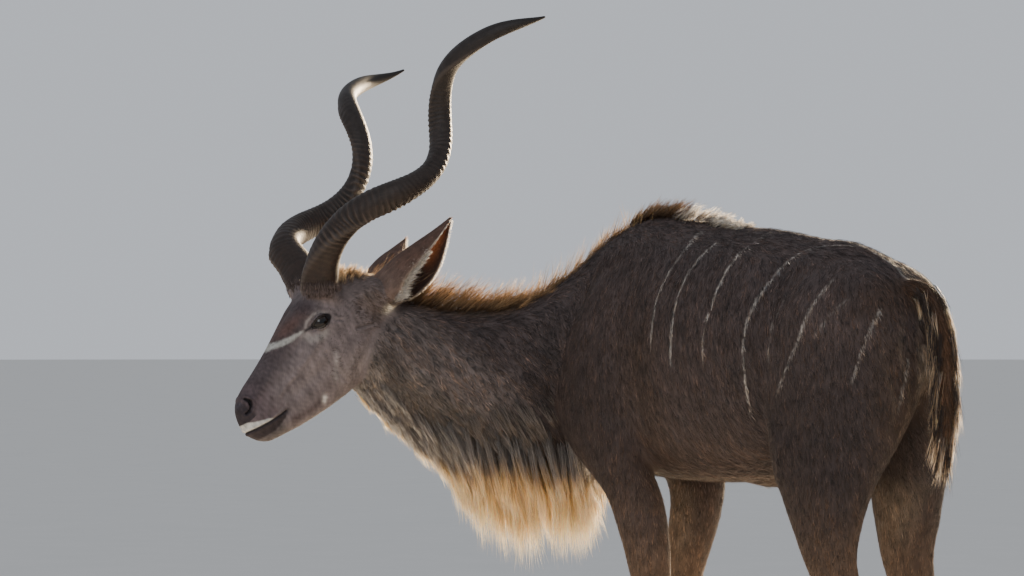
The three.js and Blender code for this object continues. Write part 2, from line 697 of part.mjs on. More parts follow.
function earForm({ sign, back, rise, out }, inside) {
  const left = headLeftLevel.clone().multiplyScalar(-sign);
  const root = onHead(EAR_ROOT.t, -sign * EAR_ROOT.out, EAR_ROOT.h);
  const reach = new THREE.Vector3()
    .addScaledVector(headAhead, -back)
    .addScaledVector(UP, rise)
    .addScaledVector(left, out);
  const length = reach.length();
  const axis = reach.clone().normalize();
  const facing = new THREE.Vector3()
    .addScaledVector(headAhead, EAR_FACING.ahead)
    .addScaledVector(left, EAR_FACING.out)
    .addScaledVector(UP, EAR_FACING.up);
  facing.addScaledVector(axis, -facing.dot(axis)).normalize();
  const wide = axis.clone().cross(facing).normalize();
  return form({
    rows: inside ? EAR_ROWS.slice(1) : EAR_ROWS,
    along: "v",
    sides: 12,
    pace: 0.13,
    frame: (v, { half, deep }) => {
      const wall = inside ? EAR_WALL : 0;
      const shift = inside ? deep * EAR_HOLLOW.shift : 0;
      const bow = EAR_CURL * (Math.sin(v * Math.PI) - v * EAR_TIP_CURL);
      const sweep = Math.sin(Math.PI * Math.min(v, 1) ** EAR_SWEEP.pace);
      return {
        centre: root
          .clone()
          .addScaledVector(axis, v * length)
          .addScaledVector(facing, bow + shift)
          .addScaledVector(headAhead, -EAR_SWEEP.back * sweep)
          .addScaledVector(UP, -EAR_SWEEP.down * sweep),
        side: wide,
        up: facing,
        section: { half: Math.max(half - wall, 2), rise: deep, drop: deep * EAR_BACK - wall },
      };
    },
  });
}

function ear(pose) {
  const shell = earForm(pose, false).solid();
  const hollow = earForm(pose, true).solid(0, EAR_HOLLOW.from, EAR_HOLLOW.to);
  return largest(shell.subtract(hollow));
}

// Hooves: two claws with pointed toes, flat on the floor

const CLAW_SIDES = 12;
const CLAW_POINT = 0.35; // how much narrower the toe is
const CLAW_LEAN = 3; // how far the toe leans to its neighbour
const CLAW_LEVELS = [
  { z: 0, toe: 52, heel: 27, wide: 1, ahead: 12 },
  { z: 5, toe: 52, heel: 29, wide: 1.03, ahead: 12 },
  { z: 30, toe: 40, heel: 28, wide: 0.98, ahead: 5 },
  { z: CORONET_HEIGHT - GAP, toe: 30, heel: 25, wide: 0.9, ahead: 0 },
];

function claw(limbName, inner) {
  const { sign, foot, rows } = STANCE[limbName];
  const last = rows.at(-1);
  const y = sign * last.y + (inner ? -sign : sign) * (HOOF_WIDTH + CLEFT) * 0.5;
  const toCleft = inner ? sign : -sign;
  const rings = CLAW_LEVELS.map(({ z, toe, heel, wide, ahead }) =>
    Array.from({ length: CLAW_SIDES }, (_, i) => {
      const angle = (2 * Math.PI * i) / CLAW_SIDES;
      const [c, s] = [Math.cos(angle), Math.sin(angle)];
      const along = c > 0 ? c * toe : c * heel;
      const narrow = 1 - CLAW_POINT * Math.max(c, 0) ** 2;
      const lean = toCleft * CLAW_LEAN * Math.max(c, 0) ** 2;
      return new THREE.Vector3(
        foot + last.dx - ahead - along,
        y + s * narrow * wide * HOOF_WIDTH * 0.5 + lean,
        z,
      );
    }),
  );
  return tube(rings);
}

// Small false hooves behind the fetlock
const DEWCLAW = { behind: 30, apart: 15, height: 108, sizes: [12, 9, 15] };

function dewclaws(limbName) {
  const { sign, foot, rows } = STANCE[limbName];
  const fetlock = rows.find((row) => row.z === FETLOCK_HEIGHT);
  return [-1, 1].map((side) => {
    const place = new THREE.Vector3(
      foot + fetlock.dx + DEWCLAW.behind,
      sign * fetlock.y + side * DEWCLAW.apart,
      DEWCLAW.height,
    );
    return ball(place, DEWCLAW.sizes, LEVEL, TINY_BALL);
  });
}

function leg(name) {
  const lower = limbs[name].solid(0, CORONET_HEIGHT, LEG_TOP - GAP);
  return largest(joined(lower, dewclaws(name)));
}

// Sheath and scrotum, under the trunk

const SHEATH = { x: 20, z: 784, sizes: [92, 22, 28] };
const SCROTUM = { x: 300, z: 800, sizes: [34, 34, 56] };

function underside() {
  return [SHEATH, SCROTUM].map(({ x, z, sizes }) =>
    ball(new THREE.Vector3(x, 0, z), sizes, LEVEL, SMALL_BALL),
  );
}

// Tail: hangs behind the buttocks

const TAIL_ROOT_HEIGHT = 1200;
const TAIL_PATH = new THREE.CatmullRomCurve3(
  [
    [490, TAIL_ROOT_HEIGHT],
    [540, 1192],
    [576, 1150],
    [600, 1078],
    [610, 960],
    [604, TAIL_ROOT_HEIGHT - TAIL_DROP],
  ].map(([x, z]) => new THREE.Vector3(x, 0, z)),
);

const tail = form({
  rows: [
    { v: 0, half: 34, deep: 30 },
    { v: 0.15, half: 32, deep: 26 },
    { v: 0.35, half: 30, deep: 20 },
    { v: 0.6, half: 32, deep: 18 },
    { v: 0.8, half: 30, deep: 18 },
    { v: 0.93, half: 20, deep: 14 },
    { v: 1, half: 8, deep: 6 },
  ],
  along: "v",
  sides: 12,
  pace: 0.08,
  frame: (v, { half, deep }) => {
    const ahead = TAIL_PATH.getTangent(v);
    const side = new THREE.Vector3(0, 1, 0);
    return {
      centre: TAIL_PATH.getPoint(v),
      side,
      up: side.clone().cross(ahead).normalize(),
      section: { half, rise: deep, drop: deep },
    };
  },
});

// Locks of hair: flat, tapered and bent, rooted in the body

const LOCK_SHAPE = [
  { share: -0.24, wide: 0.8 },
  { share: 0.25, wide: 1 },
  { share: 0.7, wide: 0.78 },
  { share: 1, wide: 0.1 },
];

const STEP = 0.05; // share of the length over which a direction is taken

function lock({ root, outward, lie, length, width, thick, sag }) {
  const at = (share) =>
    root
      .clone()
      .addScaledVector(lie, share * length)
      .addScaledVector(UP, -sag * length * Math.max(share, 0) ** 2);
  const rings = LOCK_SHAPE.map(({ share, wide }) => {
    const ahead = at(share + STEP).sub(at(share - STEP)).normalize();
    const across = outward.clone().cross(ahead).normalize();
    const flat = ahead.clone().cross(across);
    const [a, b] = [(width / 2) * wide, (thick / 2) * Math.sqrt(wide)];
    return [
      at(share).addScaledVector(across, a),
      at(share).addScaledVector(flat, b),
      at(share).addScaledVector(across, -a),
      at(share).addScaledVector(flat, -b),
    ];
  });
  return tube(rings);
}

// Beard: rows of locks hanging from the throat and the underside of the neck
const BEARD_DEPTH = smooth(
  [
    { v: 0.16, length: 96 },
    { v: 0.28, length: 176 },
    { v: 0.42, length: 200 },
    { v: 0.56, length: 150 },
    { v: 0.7, length: 92 },
    { v: 0.85, length: 74 },
    { v: 1, length: 60 },
  ],
  "v",
);
const BEARD_ROWS = [
  { round: -0.6, count: 12, longer: 0.82 },
  { round: 0, count: 13, longer: 1 },
  { round: 0.6, count: 12, longer: 0.82 },
];
const BEARD = { from: 0.17, to: 0.93, sunk: 6, width: 72, thick: 18, back: 0.1, splay: 0.3 };

function beard() {
  const random = numberSource(11);
  return BEARD_ROWS.flatMap(({ round, count, longer }) =>
    evenly(count).map((share) => {
      const v = mix(BEARD.from, BEARD.to, share) + spread(random, 0.012);
      const { ahead, side } = neckDirections(v);
      const root = neck.point(v, -Math.PI / 2 + round + spread(random, 0.06), -BEARD.sunk);
      const lie = new THREE.Vector3(0, 0, -1)
        .addScaledVector(ahead, -BEARD.back + spread(random, 0.12))
        .addScaledVector(side, BEARD.splay * round + spread(random, 0.07))
        .normalize();
      return lock({
        root,
        outward: side,
        lie,
        length: BEARD_DEPTH(v).length * longer * (1 + spread(random, 0.1)),
        width: BEARD.width * (1 + spread(random, 0.12)),
        thick: BEARD.thick,
        sag: 0,
      });
    }),
  );
}

// Mane: locks along the nape that lean back, by turns a little to either side
const MANE = {
  count: 14,
  from: 0.16,
  to: 0.95,
  sunk: 8,
  aside: 0.05,
  rise: 0.62,
  length: 98,
  width: 42,
  thick: 15,
  sag: 0.3,
};

function mane() {
  const random = numberSource(23);
  return evenly(MANE.count).map((share, i) => {
    const v = mix(MANE.from, MANE.to, share);
    const { ahead, side } = neckDirections(v);
    const lie = ahead
      .clone()
      .multiplyScalar(-1)
      .addScaledVector(UP, MANE.rise + spread(random, 0.15))
      .addScaledVector(side, spread(random, 0.2))
      .normalize();
    return lock({
      root: neck.point(v, Math.PI / 2 + (i % 2 ? MANE.aside : -MANE.aside), -MANE.sunk),
      outward: side,
      lie,
      length: MANE.length * (1 + spread(random, 0.15)),
      width: MANE.width,
      thick: MANE.thick,
      sag: MANE.sag,
    });
  });
}

// Crest: a low ridge of hair over the withers, and the locks that lie back from it
const CREST = {
  count: 8,
  from: -455,
  to: -150,
  sunk: 8,
  rise: 0.5,
  length: 92,
  width: 36,
  thick: 14,
  sag: 0.25,
};
const CREST_RIDGE = { from: -465, to: -120, sunk: 2, radii: [7, 11, 12, 12, 11, 7], sides: 6 };

function crest() {
  const random = numberSource(31);
  const { radii, sides, sunk } = CREST_RIDGE;
  const ridge = evenly(radii.length).map((share) =>
    trunk.point(mix(CREST_RIDGE.from, CREST_RIDGE.to, share), Math.PI / 2, -sunk),
  );
  const locks = evenly(CREST.count).map((share) => {
    const rise = CREST.rise + spread(random, 0.1);
    return lock({
      root: trunk.point(mix(CREST.from, CREST.to, share), Math.PI / 2, -CREST.sunk),
      outward: new THREE.Vector3(0, 1, 0),
      lie: new THREE.Vector3(1, spread(random, 0.12), rise).normalize(),
      length: CREST.length * (1 + spread(random, 0.15)),
      width: CREST.width,
      thick: CREST.thick,
      sag: CREST.sag,
    });
  });
  return joined(cord(ridge, radii, sides), locks);
}

// Tail hair: locks along the lower half, with the longest at the tip
const BRUSH = {
  count: 8,
  from: 0.5,
  to: 0.97,
  aside: 10,
  behind: 0.12,
  splay: 0.2,
  length: 118,
  width: 30,
  thick: 13,
};

function brush() {
  const random = numberSource(47);
  return evenly(BRUSH.count).map((share, i) => {
    const v = mix(BRUSH.from, BRUSH.to, share);
    const across = new THREE.Vector3(0, i % 2 ? 1 : -1, 0);
    const behind = BRUSH.behind + spread(random, 0.08);
    return lock({
      root: TAIL_PATH.getPoint(v).addScaledVector(across, BRUSH.aside),
      outward: new THREE.Vector3(1, 0, 0),
      lie: new THREE.Vector3(behind, across.y * BRUSH.splay, -1).normalize(),
      length: BRUSH.length * (1 + spread(random, 0.1)) * mix(0.75, 1, share),
      width: BRUSH.width,
      thick: BRUSH.thick,
      sag: 0,
    });
  });
}

// Assembly

function material(colour, roughness, metalness = 0) {
  return new THREE.MeshStandardMaterial({ color: colour, roughness, metalness });
}

function geometryOf(solid) {
  const mesh = solid.getMesh();
  const positions = [];
  for (let i = 0; i < mesh.vertProperties.length; i += mesh.numProp) {
    positions.push(...mesh.vertProperties.slice(i, i + 3));
  }
  const geometry = new THREE.BufferGeometry();
  geometry.setAttribute("position", new THREE.Float32BufferAttribute(positions, 3));
  geometry.setIndex(Array.from(mesh.triVerts));
  return geometry;
}

function torsoSolid() {
  const upper = Object.values(limbs).map((one) => one.solid(0, LEG_TOP));
  return largest(joined(trunk.solid(), upper, underside()));
}

function bodyGrown() {
  const fore = [limbs.foreleg_left, limbs.foreleg_right].map((one) => one.solid(GAP, LEG_TOP));
  return joined(trunk.solid(GAP), fore);
}

function headSolid() {
  const sockets = Object.values(SIDES).map((sign) => eyeball(sign, EYE_RADIUS + GAP));
  const rims = Object.values(SIDES).flatMap((sign) => [lids(sign), hornFoot(sign)]);
  const hollows = [mouthLine(), ...Object.values(SIDES).map(nostril)];
  return largest(joined(skull.solid(), rims).subtract(joined(sockets)).subtract(joined(hollows)));
}

// The neck in two pieces that meet at an upright plane halfway along it
function neckSolids() {
  const ears = Object.values(EAR_POSE).map((pose) => earForm(pose, false).solid(GAP));
  const whole = joined(neck.solid(), beard(), mane()).subtract(
    joined(bodyGrown(), skull.solid(GAP), ears),
  );
  const { ahead } = neckDirections(NECK_SPLIT);
  const reach = NECK_PATH.getPoint(NECK_SPLIT).dot(ahead);
  const half = (sign) =>
    largest(whole.trimByPlane(ahead.toArray().map((n) => n * sign), reach * sign + GAP / 2));
  return { upper: half(1), lower: half(-1) };
}

function tailSolid() {
  const hind = [limbs.hindleg_left, limbs.hindleg_right].map((one) => one.solid(GAP, LEG_TOP));
  return largest(joined(tail.solid(), brush()).subtract(joined(trunk.solid(GAP), hind)));
}

function pieces() {
  const coat = () => material(COLOURS.coat, 0.9);
  const headGrown = skull.solid(GAP);
  const necks = neckSolids();
  const made = [
    ["torso", torsoSolid(), coat()],
    ["neck_upper", necks.upper, coat()],
    ["neck_lower", necks.lower, coat()],
    ["crest", largest(crest().subtract(bodyGrown())), material(COLOURS.mane, 0.95)],
    ["head", headSolid(), material(COLOURS.face, 0.85)],
    ["tail", tailSolid(), material(COLOURS.tail, 0.95)],
  ];
  for (const [side, sign] of Object.entries(SIDES)) {
    const shell = ear(EAR_POSE[`ear_${side}`]);
    made.push([`ear_${side}`, largest(shell.subtract(headGrown)), coat()]);
    made.push([`eye_${side}`, eyeball(sign, EYE_RADIUS), material(COLOURS.eye, 0.1)]);
    made.push([`horn_${side}`, largest(horn(sign).subtract(headGrown)), material(COLOURS.horn, 0.5)]);
    for (const limbName of [`foreleg_${side}`, `hindleg_${side}`]) {
      made.push([limbName, leg(limbName), material(COLOURS.leg, 0.85)]);
      const hoof = limbName.replace("leg", "hoof");
      made.push([`${hoof}_inner`, claw(limbName, true), material(COLOURS.hoof, 0.45)]);
      made.push([`${hoof}_outer`, claw(limbName, false), material(COLOURS.hoof, 0.45)]);
    }
  }
  return made;
}

function animal() {
  const group = new THREE.Group();
  group.name = "greater_kudu";
  for (const [name, solid, look] of pieces()) {
    const mesh = new THREE.Mesh(geometryOf(solid), look);
    mesh.name = name;
    group.add(mesh);
  }
  const box = new THREE.Box3().setFromObject(group);
  const centre = box.getCenter(new THREE.Vector3());
  group.children.forEach((mesh) => mesh.geometry.translate(-centre.x, -centre.y, -box.min.z));
  return group;
}

export default animal();
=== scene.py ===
"""A greater kudu bull, life size: skin, coat, horns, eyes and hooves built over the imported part.

Sizes are in millimetres in the animal's own frame (chest towards -X, left side towards -Y, floor at
z = 0) until a mesh is made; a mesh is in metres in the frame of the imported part.
"""
import bpy
import bmesh
import math
import numpy as np
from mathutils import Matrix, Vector
from mathutils.kdtree import KDTree


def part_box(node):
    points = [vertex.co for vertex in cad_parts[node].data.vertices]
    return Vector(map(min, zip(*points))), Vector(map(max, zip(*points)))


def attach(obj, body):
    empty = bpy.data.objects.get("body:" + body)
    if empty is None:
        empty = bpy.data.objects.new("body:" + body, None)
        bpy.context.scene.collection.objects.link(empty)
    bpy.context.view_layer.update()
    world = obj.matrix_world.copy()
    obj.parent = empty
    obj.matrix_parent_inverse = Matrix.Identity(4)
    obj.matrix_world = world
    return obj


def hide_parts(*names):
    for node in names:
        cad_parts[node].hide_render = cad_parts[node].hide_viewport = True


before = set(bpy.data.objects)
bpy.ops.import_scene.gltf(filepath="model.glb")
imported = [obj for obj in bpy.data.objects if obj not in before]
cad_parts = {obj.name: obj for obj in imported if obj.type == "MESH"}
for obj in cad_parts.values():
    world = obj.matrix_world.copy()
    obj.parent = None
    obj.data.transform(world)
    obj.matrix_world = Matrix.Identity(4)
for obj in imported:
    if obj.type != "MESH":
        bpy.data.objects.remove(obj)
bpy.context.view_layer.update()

bl_info = {
    "name": "Greater kudu bull",
    "version": (1, 0, 0),
    "blender": (4, 5, 0),
    "location": "3D View > Sidebar > Kudu",
    "description": "Builds the skin, coat, horns, eyes and hooves of a standing greater kudu bull",
    "category": "Object",
}

BODY = "root"
SIDES = {"left": -1, "right": 1}
UP = np.array([0.0, 0.0, 1.0])
MM = 1000.0  # millimetres in a metre
SEEDS = {"coat": 3, "horns": 5, "beard": 11, "mane": 13, "gathered": 17, "fringes": 19, "brush": 23,
         "lashes": 29}


# Numbers and directions

def unit(v):
    v = np.asarray(v, float)
    return v / np.maximum(np.linalg.norm(v, axis=-1, keepdims=True), 1e-9)


def mix(a, b, share):
    return a + (b - a) * share


def step(low, high, value):
    share = np.clip((np.asarray(value, float) - low) / (high - low), 0, 1)
    return share * share * (3 - 2 * share)


def bell(value, size):
    return np.exp(-(np.asarray(value, float) / size) ** 2)


def around(count, start=0.0):
    """Angles set evenly round a ring."""
    return 2 * np.pi * (np.arange(count) + start) / count


def seeded(name):
    return np.random.default_rng(SEEDS[name])


def leaning(lie, scatter, rng):
    """Directions turned a little at random."""
    return unit(lie + rng.normal(0, scatter, lie.shape))


class Rows:
    """Sizes given at a few places, read as a smooth curve between them."""

    def __init__(self, names, rows):
        table = np.array(rows, float)
        table = table[np.argsort(table[:, 0])]
        self.names = names.split()[1:]
        self.at = table[:, 0]
        self.table = table[:, 1:]

    def __call__(self, place):
        at = self.at
        place = np.clip(np.asarray(place, float), at[0], at[-1])
        last = len(at) - 1
        high = np.clip(np.searchsorted(at, place, side="right"), 1, last)
        low = high - 1
        t0, t1 = at[low], at[high]
        before = np.where(low > 0, low - 1, high)
        after = np.where(high < last, np.minimum(high + 1, last), low)
        half = (t1 - t0) / 2
        w_before = half / (t0 - np.where(low > 0, at[low - 1], t1))
        w_after = half / (np.where(high < last, at[np.minimum(high + 1, last)], t0) - t1)
        p = (place - t0) / (t1 - t0)
        pp, ppp = p * p, p * p * p
        weights = (
            -w_before * ppp + 2 * w_before * pp - w_before * p,
            (1 + w_before) * ppp + (-1.5 - 2 * w_before) * pp + (w_before - 0.5) * p + 1,
            (-1 - w_after) * ppp + (1.5 + w_after) * pp + 0.5 * p,
            w_after * ppp - w_after * pp,
        )
        rows = (before, low, high, after)
        found = sum(w[..., None] * self.table[i] for w, i in zip(weights, rows))
        return {name: found[..., k] for k, name in enumerate(self.names)}


class Path:
    """A smooth curve through points, read by the share of it gone along."""

    def __init__(self, points):
        self.points = np.array(points, float)

    def __call__(self, share):
        share = np.asarray(share, float)
        points = self.points
        count = len(points)
        whole = share * (count - 1)
        i = np.clip(np.floor(whole).astype(int), 0, count - 2)
        w = whole - i
        x1, x2 = points[i], points[i + 1]
        x0 = np.where((i > 0)[..., None], points[np.maximum(i - 1, 0)], 2 * points[0] - points[1])
        far = np.minimum(i + 2, count - 1)
        x3 = np.where((i + 2 < count)[..., None], points[far], 2 * points[-1] - points[-2])
        gap = lambda a, b: np.maximum(((a - b) ** 2).sum(-1, keepdims=True) ** 0.25, 1e-4)
        d0, d1, d2 = gap(x0, x1), gap(x1, x2), gap(x2, x3)
        t1 = ((x1 - x0) / d0 - (x2 - x0) / (d0 + d1) + (x2 - x1) / d1) * d1
        t2 = ((x2 - x1) / d1 - (x3 - x1) / (d1 + d2) + (x3 - x2) / d2) * d1
        w = w[..., None]
        square, cube = -3 * x1 + 3 * x2 - 2 * t1 - t2, 2 * x1 - 2 * x2 + t1 + t2
        return x1 + t1 * w + square * w**2 + cube * w**3

    def ahead(self, share):
        share = np.asarray(share, float)
        low, high = np.clip(share - 1e-4, 0, 1), np.clip(share + 1e-4, 0, 1)
        return unit(self(high) - self(low))


# The forms of the body, from the same sizes as its solids

def section(angle, grow, half, rise, drop, crown=2.0, keel=2.0):
    """A point round an egg-shaped section: half wide, rise above and drop below its widest line."""
    c, s = np.cos(angle), np.sin(angle)
    power = 2 / np.where(s > 0, crown, keel)
    a = np.sign(c) * np.abs(c) ** power * (half + grow)
    b = np.sign(s) * np.abs(s) ** power * (np.where(s > 0, rise, drop) + grow)
    return a, b


def across_at(size, widest, angle, grow, keel):
    """The section of a form between its top and bottom, widest at a height."""
    return section(angle, grow, size["half"], size["top"] - widest, widest - size["bottom"],
                   size["crown"], keel)


TRUNK_WIDEST, TRUNK_KEEL = 0.52, 2.15
TRUNK = Rows("x top bottom half crown", [
    (-632, 1060, 930, 48, 2.0), (-600, 1185, 858, 98, 2.0), (-520, 1310, 798, 138, 1.9),
    (-430, 1358, 778, 160, 1.7), (-341, 1366, 768, 176, 1.6), (-230, 1355, 764, 196, 1.7),
    (-88, 1340, 766, 214, 1.85), (55, 1331, 774, 218, 1.9), (200, 1311, 800, 206, 1.8),
    (300, 1303, 832, 186, 1.8), (400, 1270, 872, 148, 1.9), (470, 1232, 915, 114, 2.0),
    (530, 1178, 965, 70, 2.0), (568, 1118, 1015, 34, 2.0),
])


def trunk(x, angle, grow=0.0):
    size = TRUNK(x)
    widest = mix(size["bottom"], size["top"], TRUNK_WIDEST)
    a, b = across_at(size, widest, angle, grow, TRUNK_KEEL)
    return np.stack([x + 0 * a, -a, widest + b], -1)


LIMB_ROWS = {
    "fore": Rows("z dx y front back half toe_in", [
        (1296, -24, 52, 26, 34, 20, 0), (1262, -36, 72, 62, 70, 40, -0.05),
        (1170, -66, 104, 112, 118, 62, -0.12), (1040, -98, 126, 142, 142, 72, -0.14),
        (930, -106, 134, 150, 146, 72, -0.12), (840, -64, 132, 128, 118, 66, -0.06),
        (745, 0, 126, 84, 80, 60, 0), (650, 8, 121, 68, 70, 54, 0), (560, 2, 117, 54, 56, 46, 0),
        (470, 0, 114, 42, 42, 38, 0), (415, -2, 113, 45, 38, 39, 0), (355, 0, 112, 33, 33, 31, 0),
        (250, 0, 111, 26, 29, 24, 0), (165, -1, 110, 27, 31, 25, 0), (125, -3, 110, 34, 38, 32, 0),
        (88, -14, 110, 32, 30, 29, 0), (54, -24, 110, 42, 34, 31, 0),
    ]),
    "hind": Rows("z dx y front back half toe_in", [
        (1256, -36, 58, 44, 44, 24, 0.1), (1226, -24, 74, 100, 96, 54, 0.25),
        (1170, -8, 86, 148, 142, 76, 0.36), (1070, 0, 90, 184, 170, 80, 0.4),
        (960, -4, 96, 186, 168, 80, 0.36), (860, -22, 106, 168, 150, 76, 0.26),
        (770, -34, 116, 132, 120, 68, 0.14), (690, -34, 121, 100, 94, 57, 0.06),
        (610, -24, 122, 74, 76, 47, 0), (540, 2, 120, 55, 64, 40, 0), (480, 27, 118, 46, 58, 38, 0),
        (425, 30, 116, 37, 42, 33, 0), (350, 26, 115, 29, 32, 26, 0), (250, 20, 114, 26, 29, 24, 0),
        (165, 14, 113, 28, 31, 26, 0), (125, 11, 113, 34, 38, 32, 0), (88, 0, 113, 32, 30, 29, 0),
        (54, -10, 113, 42, 34, 31, 0),
    ]),
}
THIGH_MIDDLE = 398
STANCE = {  # kind and side of each leg, and the places of its top and foot along the trunk
    "foreleg_left": ("fore", -1, -338, -250), "foreleg_right": ("fore", 1, -385, -452),
    "hindleg_left": ("hind", -1, 392, 404), "hindleg_right": ("hind", 1, 392, 352),
}


def limb_drift(name, z):
    _, _, top, foot = STANCE[name]
    return mix(foot, top, step(450, 900, z))


def limb(name, z, angle, grow=0.0):
    kind, sign, _, _ = STANCE[name]
    size = LIMB_ROWS[kind](z)
    a, b = section(angle, grow, size["half"], size["front"], size["back"])
    x = size["dx"] + limb_drift(name, z) - b
    return np.stack([x, sign * (size["y"] + a + size["toe_in"] * b), z + 0 * a], -1)


NECK_PATH = Path([
    (-400, 0, 0), (-520, -22, 0), (-604, -84, 0), (-683, -190, 0), (-752, -300, 0), (-806, -400, 0),
    (-838, -470, 0), (-852, -530, 0),
])
NECK = Rows("v top bottom half crown", [
    (0, 1335, 860, 128, 1.7), (1 / 7, 1320, 812, 138, 1.7), (2 / 7, 1236, 792, 130, 1.75),
    (3 / 7, 1162, 796, 114, 1.8), (4 / 7, 1156, 824, 102, 1.9), (5 / 7, 1174, 880, 92, 2.0),
    (6 / 7, 1194, 934, 82, 2.0), (1, 1190, 990, 60, 2.0),
])


def neck_side(v):
    ahead = NECK_PATH.ahead(v)
    return np.stack([-ahead[..., 1], ahead[..., 0], 0 * ahead[..., 0]], -1)


def neck(v, angle, grow=0.0):
    size = NECK(v)
    widest = (size["bottom"] + size["top"]) / 2
    a, b = across_at(size, widest, angle, grow, 2.0)
    centre = NECK_PATH(v)
    centre[..., 2] = widest
    return centre + a[..., None] * neck_side(v) + b[..., None] * UP


# Posture of the head: the point between the eyes, and how far it is turned, lowered and tipped
HEAD_PLACE = np.array([-858.0, -636.0, 1121.0])
HEAD_TURN, HEAD_PITCH, HEAD_ROLL = math.radians(84), math.radians(45), math.radians(9)
HEAD_AHEAD = np.array([-math.cos(HEAD_TURN), -math.sin(HEAD_TURN), 0.0])
HEAD_LEFT_LEVEL = np.cross(UP, HEAD_AHEAD)
HEAD_FORWARD = HEAD_AHEAD * math.cos(HEAD_PITCH) - UP * math.sin(HEAD_PITCH)
HEAD_LEFT = (HEAD_LEFT_LEVEL * math.cos(HEAD_ROLL)
             + np.cross(HEAD_FORWARD, HEAD_LEFT_LEVEL) * math.sin(HEAD_ROLL))
HEAD_UP = np.cross(HEAD_FORWARD, HEAD_LEFT)


def on_head(forward, left, up):
    """A place on the head: forward to the nose, to its left, and up from between the eyes."""
    parts = ((forward, HEAD_FORWARD), (left, HEAD_LEFT), (up, HEAD_UP))
    return HEAD_PLACE + sum(np.asarray(size, float)[..., None] * way for size, way in parts)


def head_places(points):
    """Forward, left and up of points, from between the eyes."""
    away = points - HEAD_PLACE
    return away @ HEAD_FORWARD, away @ HEAD_LEFT, away @ HEAD_UP


# Soft swellings of the head: brow, cheekbone, cheek, horn root, nostril rim and lips
SWELLINGS = [
    (2, 62, 22, 8, 26), (-30, 62, -14, 6, 30), (22, 52, -95, 6, 46), (-58, 54, 36, 12, 34),
    (246, 30, -12, 5, 18), (250, 26, -56, 4, 20),
]
SKULL = Rows("t top bottom half widest crown keel", [
    (-196, -44, -116, 34, -76, 2.0, 2.0), (-172, -10, -142, 56, -70, 2.1, 2.0),
    (-125, 32, -166, 68, -52, 2.4, 1.9), (-65, 54, -182, 70, -36, 2.8, 1.8),
    (0, 54, -186, 66, -22, 3.2, 1.7), (45, 47, -182, 58, -28, 2.8, 1.7),
    (88, 38, -174, 50, -38, 2.4, 1.7), (135, 28, -163, 43, -46, 2.3, 1.8),
    (182, 20, -149, 38, -52, 2.3, 1.9), (222, 14, -134, 36, -54, 2.2, 2.0),
    (250, 5, -123, 34, -54, 2.1, 2.0), (270, -10, -112, 28, -56, 2.0, 2.0),
    (284, -33, -90, 17, -60, 2.0, 2.0), (290, -50, -75, 8, -62, 2.0, 2.0),
])


def head_bulge(t, left, h):
    return sum(lift * np.exp(-((t - a) ** 2 + (np.abs(left) - b) ** 2 + (h - c) ** 2) / size**2)
               for a, b, c, lift, size in SWELLINGS)


def skull(t, angle, grow=0.0):
    size = SKULL(t)
    widest = size["widest"]
    a, b = across_at(size, widest, angle, grow, size["keel"])
    lift = 1 + head_bulge(t, a, b + widest) / np.maximum(np.hypot(a, b), 1)
    return on_head(t + 0 * a, a * lift, widest + b * lift)


TAIL_PATH = Path([(490, 0, 1200), (540, 0, 1192), (576, 0, 1150), (600, 0, 1078), (610, 0, 960),
                  (604, 0, 835)])
TAIL = Rows("v half deep", [(0, 34, 30), (0.15, 32, 26), (0.35, 30, 20), (0.6, 32, 18),
                            (0.8, 30, 18), (0.93, 20, 14), (1, 8, 6)])


def tail(v, angle, grow=0.0):
    size = TAIL(v)
    a, b = section(angle, grow, size["half"], size["deep"], size["deep"])
    side = np.array([0.0, 1.0, 0.0])
    up = unit(np.cross(side, TAIL_PATH.ahead(v)))
    return TAIL_PATH(v) + a[..., None] * side + b[..., None] * up


def net(form, places, sides, grow=0.0):
    """Rings of a form as points, with the places and angles they stand at."""
    places = np.asarray(places, float)
    p, a = np.meshgrid(places, around(sides, 0.5), indexing="ij")
    g = np.broadcast_to(np.asarray(grow, float).reshape(-1, 1), p.shape)
    return form(p, a, g), p, a


def tube_faces(rings, sides):
    """Faces of rings joined up, with a fan to a hub at each end."""
    r = np.arange(rings - 1)[:, None] * sides
    i = np.arange(sides)[None, :]
    k = (i + 1) % sides
    quads = np.stack([r + i, r + k, r + k + sides, r + i + sides], -1).reshape(-1, 4)
    tris = np.concatenate([quads[:, [0, 1, 2]], quads[:, [0, 2, 3]]])
    hub = rings * sides
    i, k = i.ravel(), k.ravel()
    last = (rings - 1) * sides
    first_fan = np.stack([k, i, np.full(sides, hub)], -1)
    last_fan = np.stack([last + i, last + k, np.full(sides, hub + 1)], -1)
    return np.concatenate([tris, first_fan, last_fan])


def capped(rings):
    """Points of rings with a hub at each end, and their faces."""
    count, sides, _ = rings.shape
    points = np.concatenate([rings.reshape(-1, 3), rings[0].mean(0)[None], rings[-1].mean(0)[None]])
    faces = tube_faces(count, sides)
    a, b, c = (points[faces[:, k]] for k in range(3))
    if (a * np.cross(b, c)).sum() < 0:
        faces = faces[:, ::-1]
    return points, faces


def ball(place, sizes, detail=(24, 16)):
    down = np.pi * (np.arange(1, detail[1])) / detail[1]
    d, r = np.meshgrid(down, around(detail[0]), indexing="ij")
    rings = np.stack([np.sin(d) * np.cos(r), np.sin(d) * np.sin(r), np.cos(d)], -1)
    points, faces = capped(rings)
    points[-2], points[-1] = (0, 0, 1), (0, 0, -1)
    return points * np.asarray(sizes, float) + np.asarray(place, float), faces


# Meshes

EYE_RADIUS, EYE_OUT = 20.0, 57.0
EYE_AT = (-3.0, -9.0)


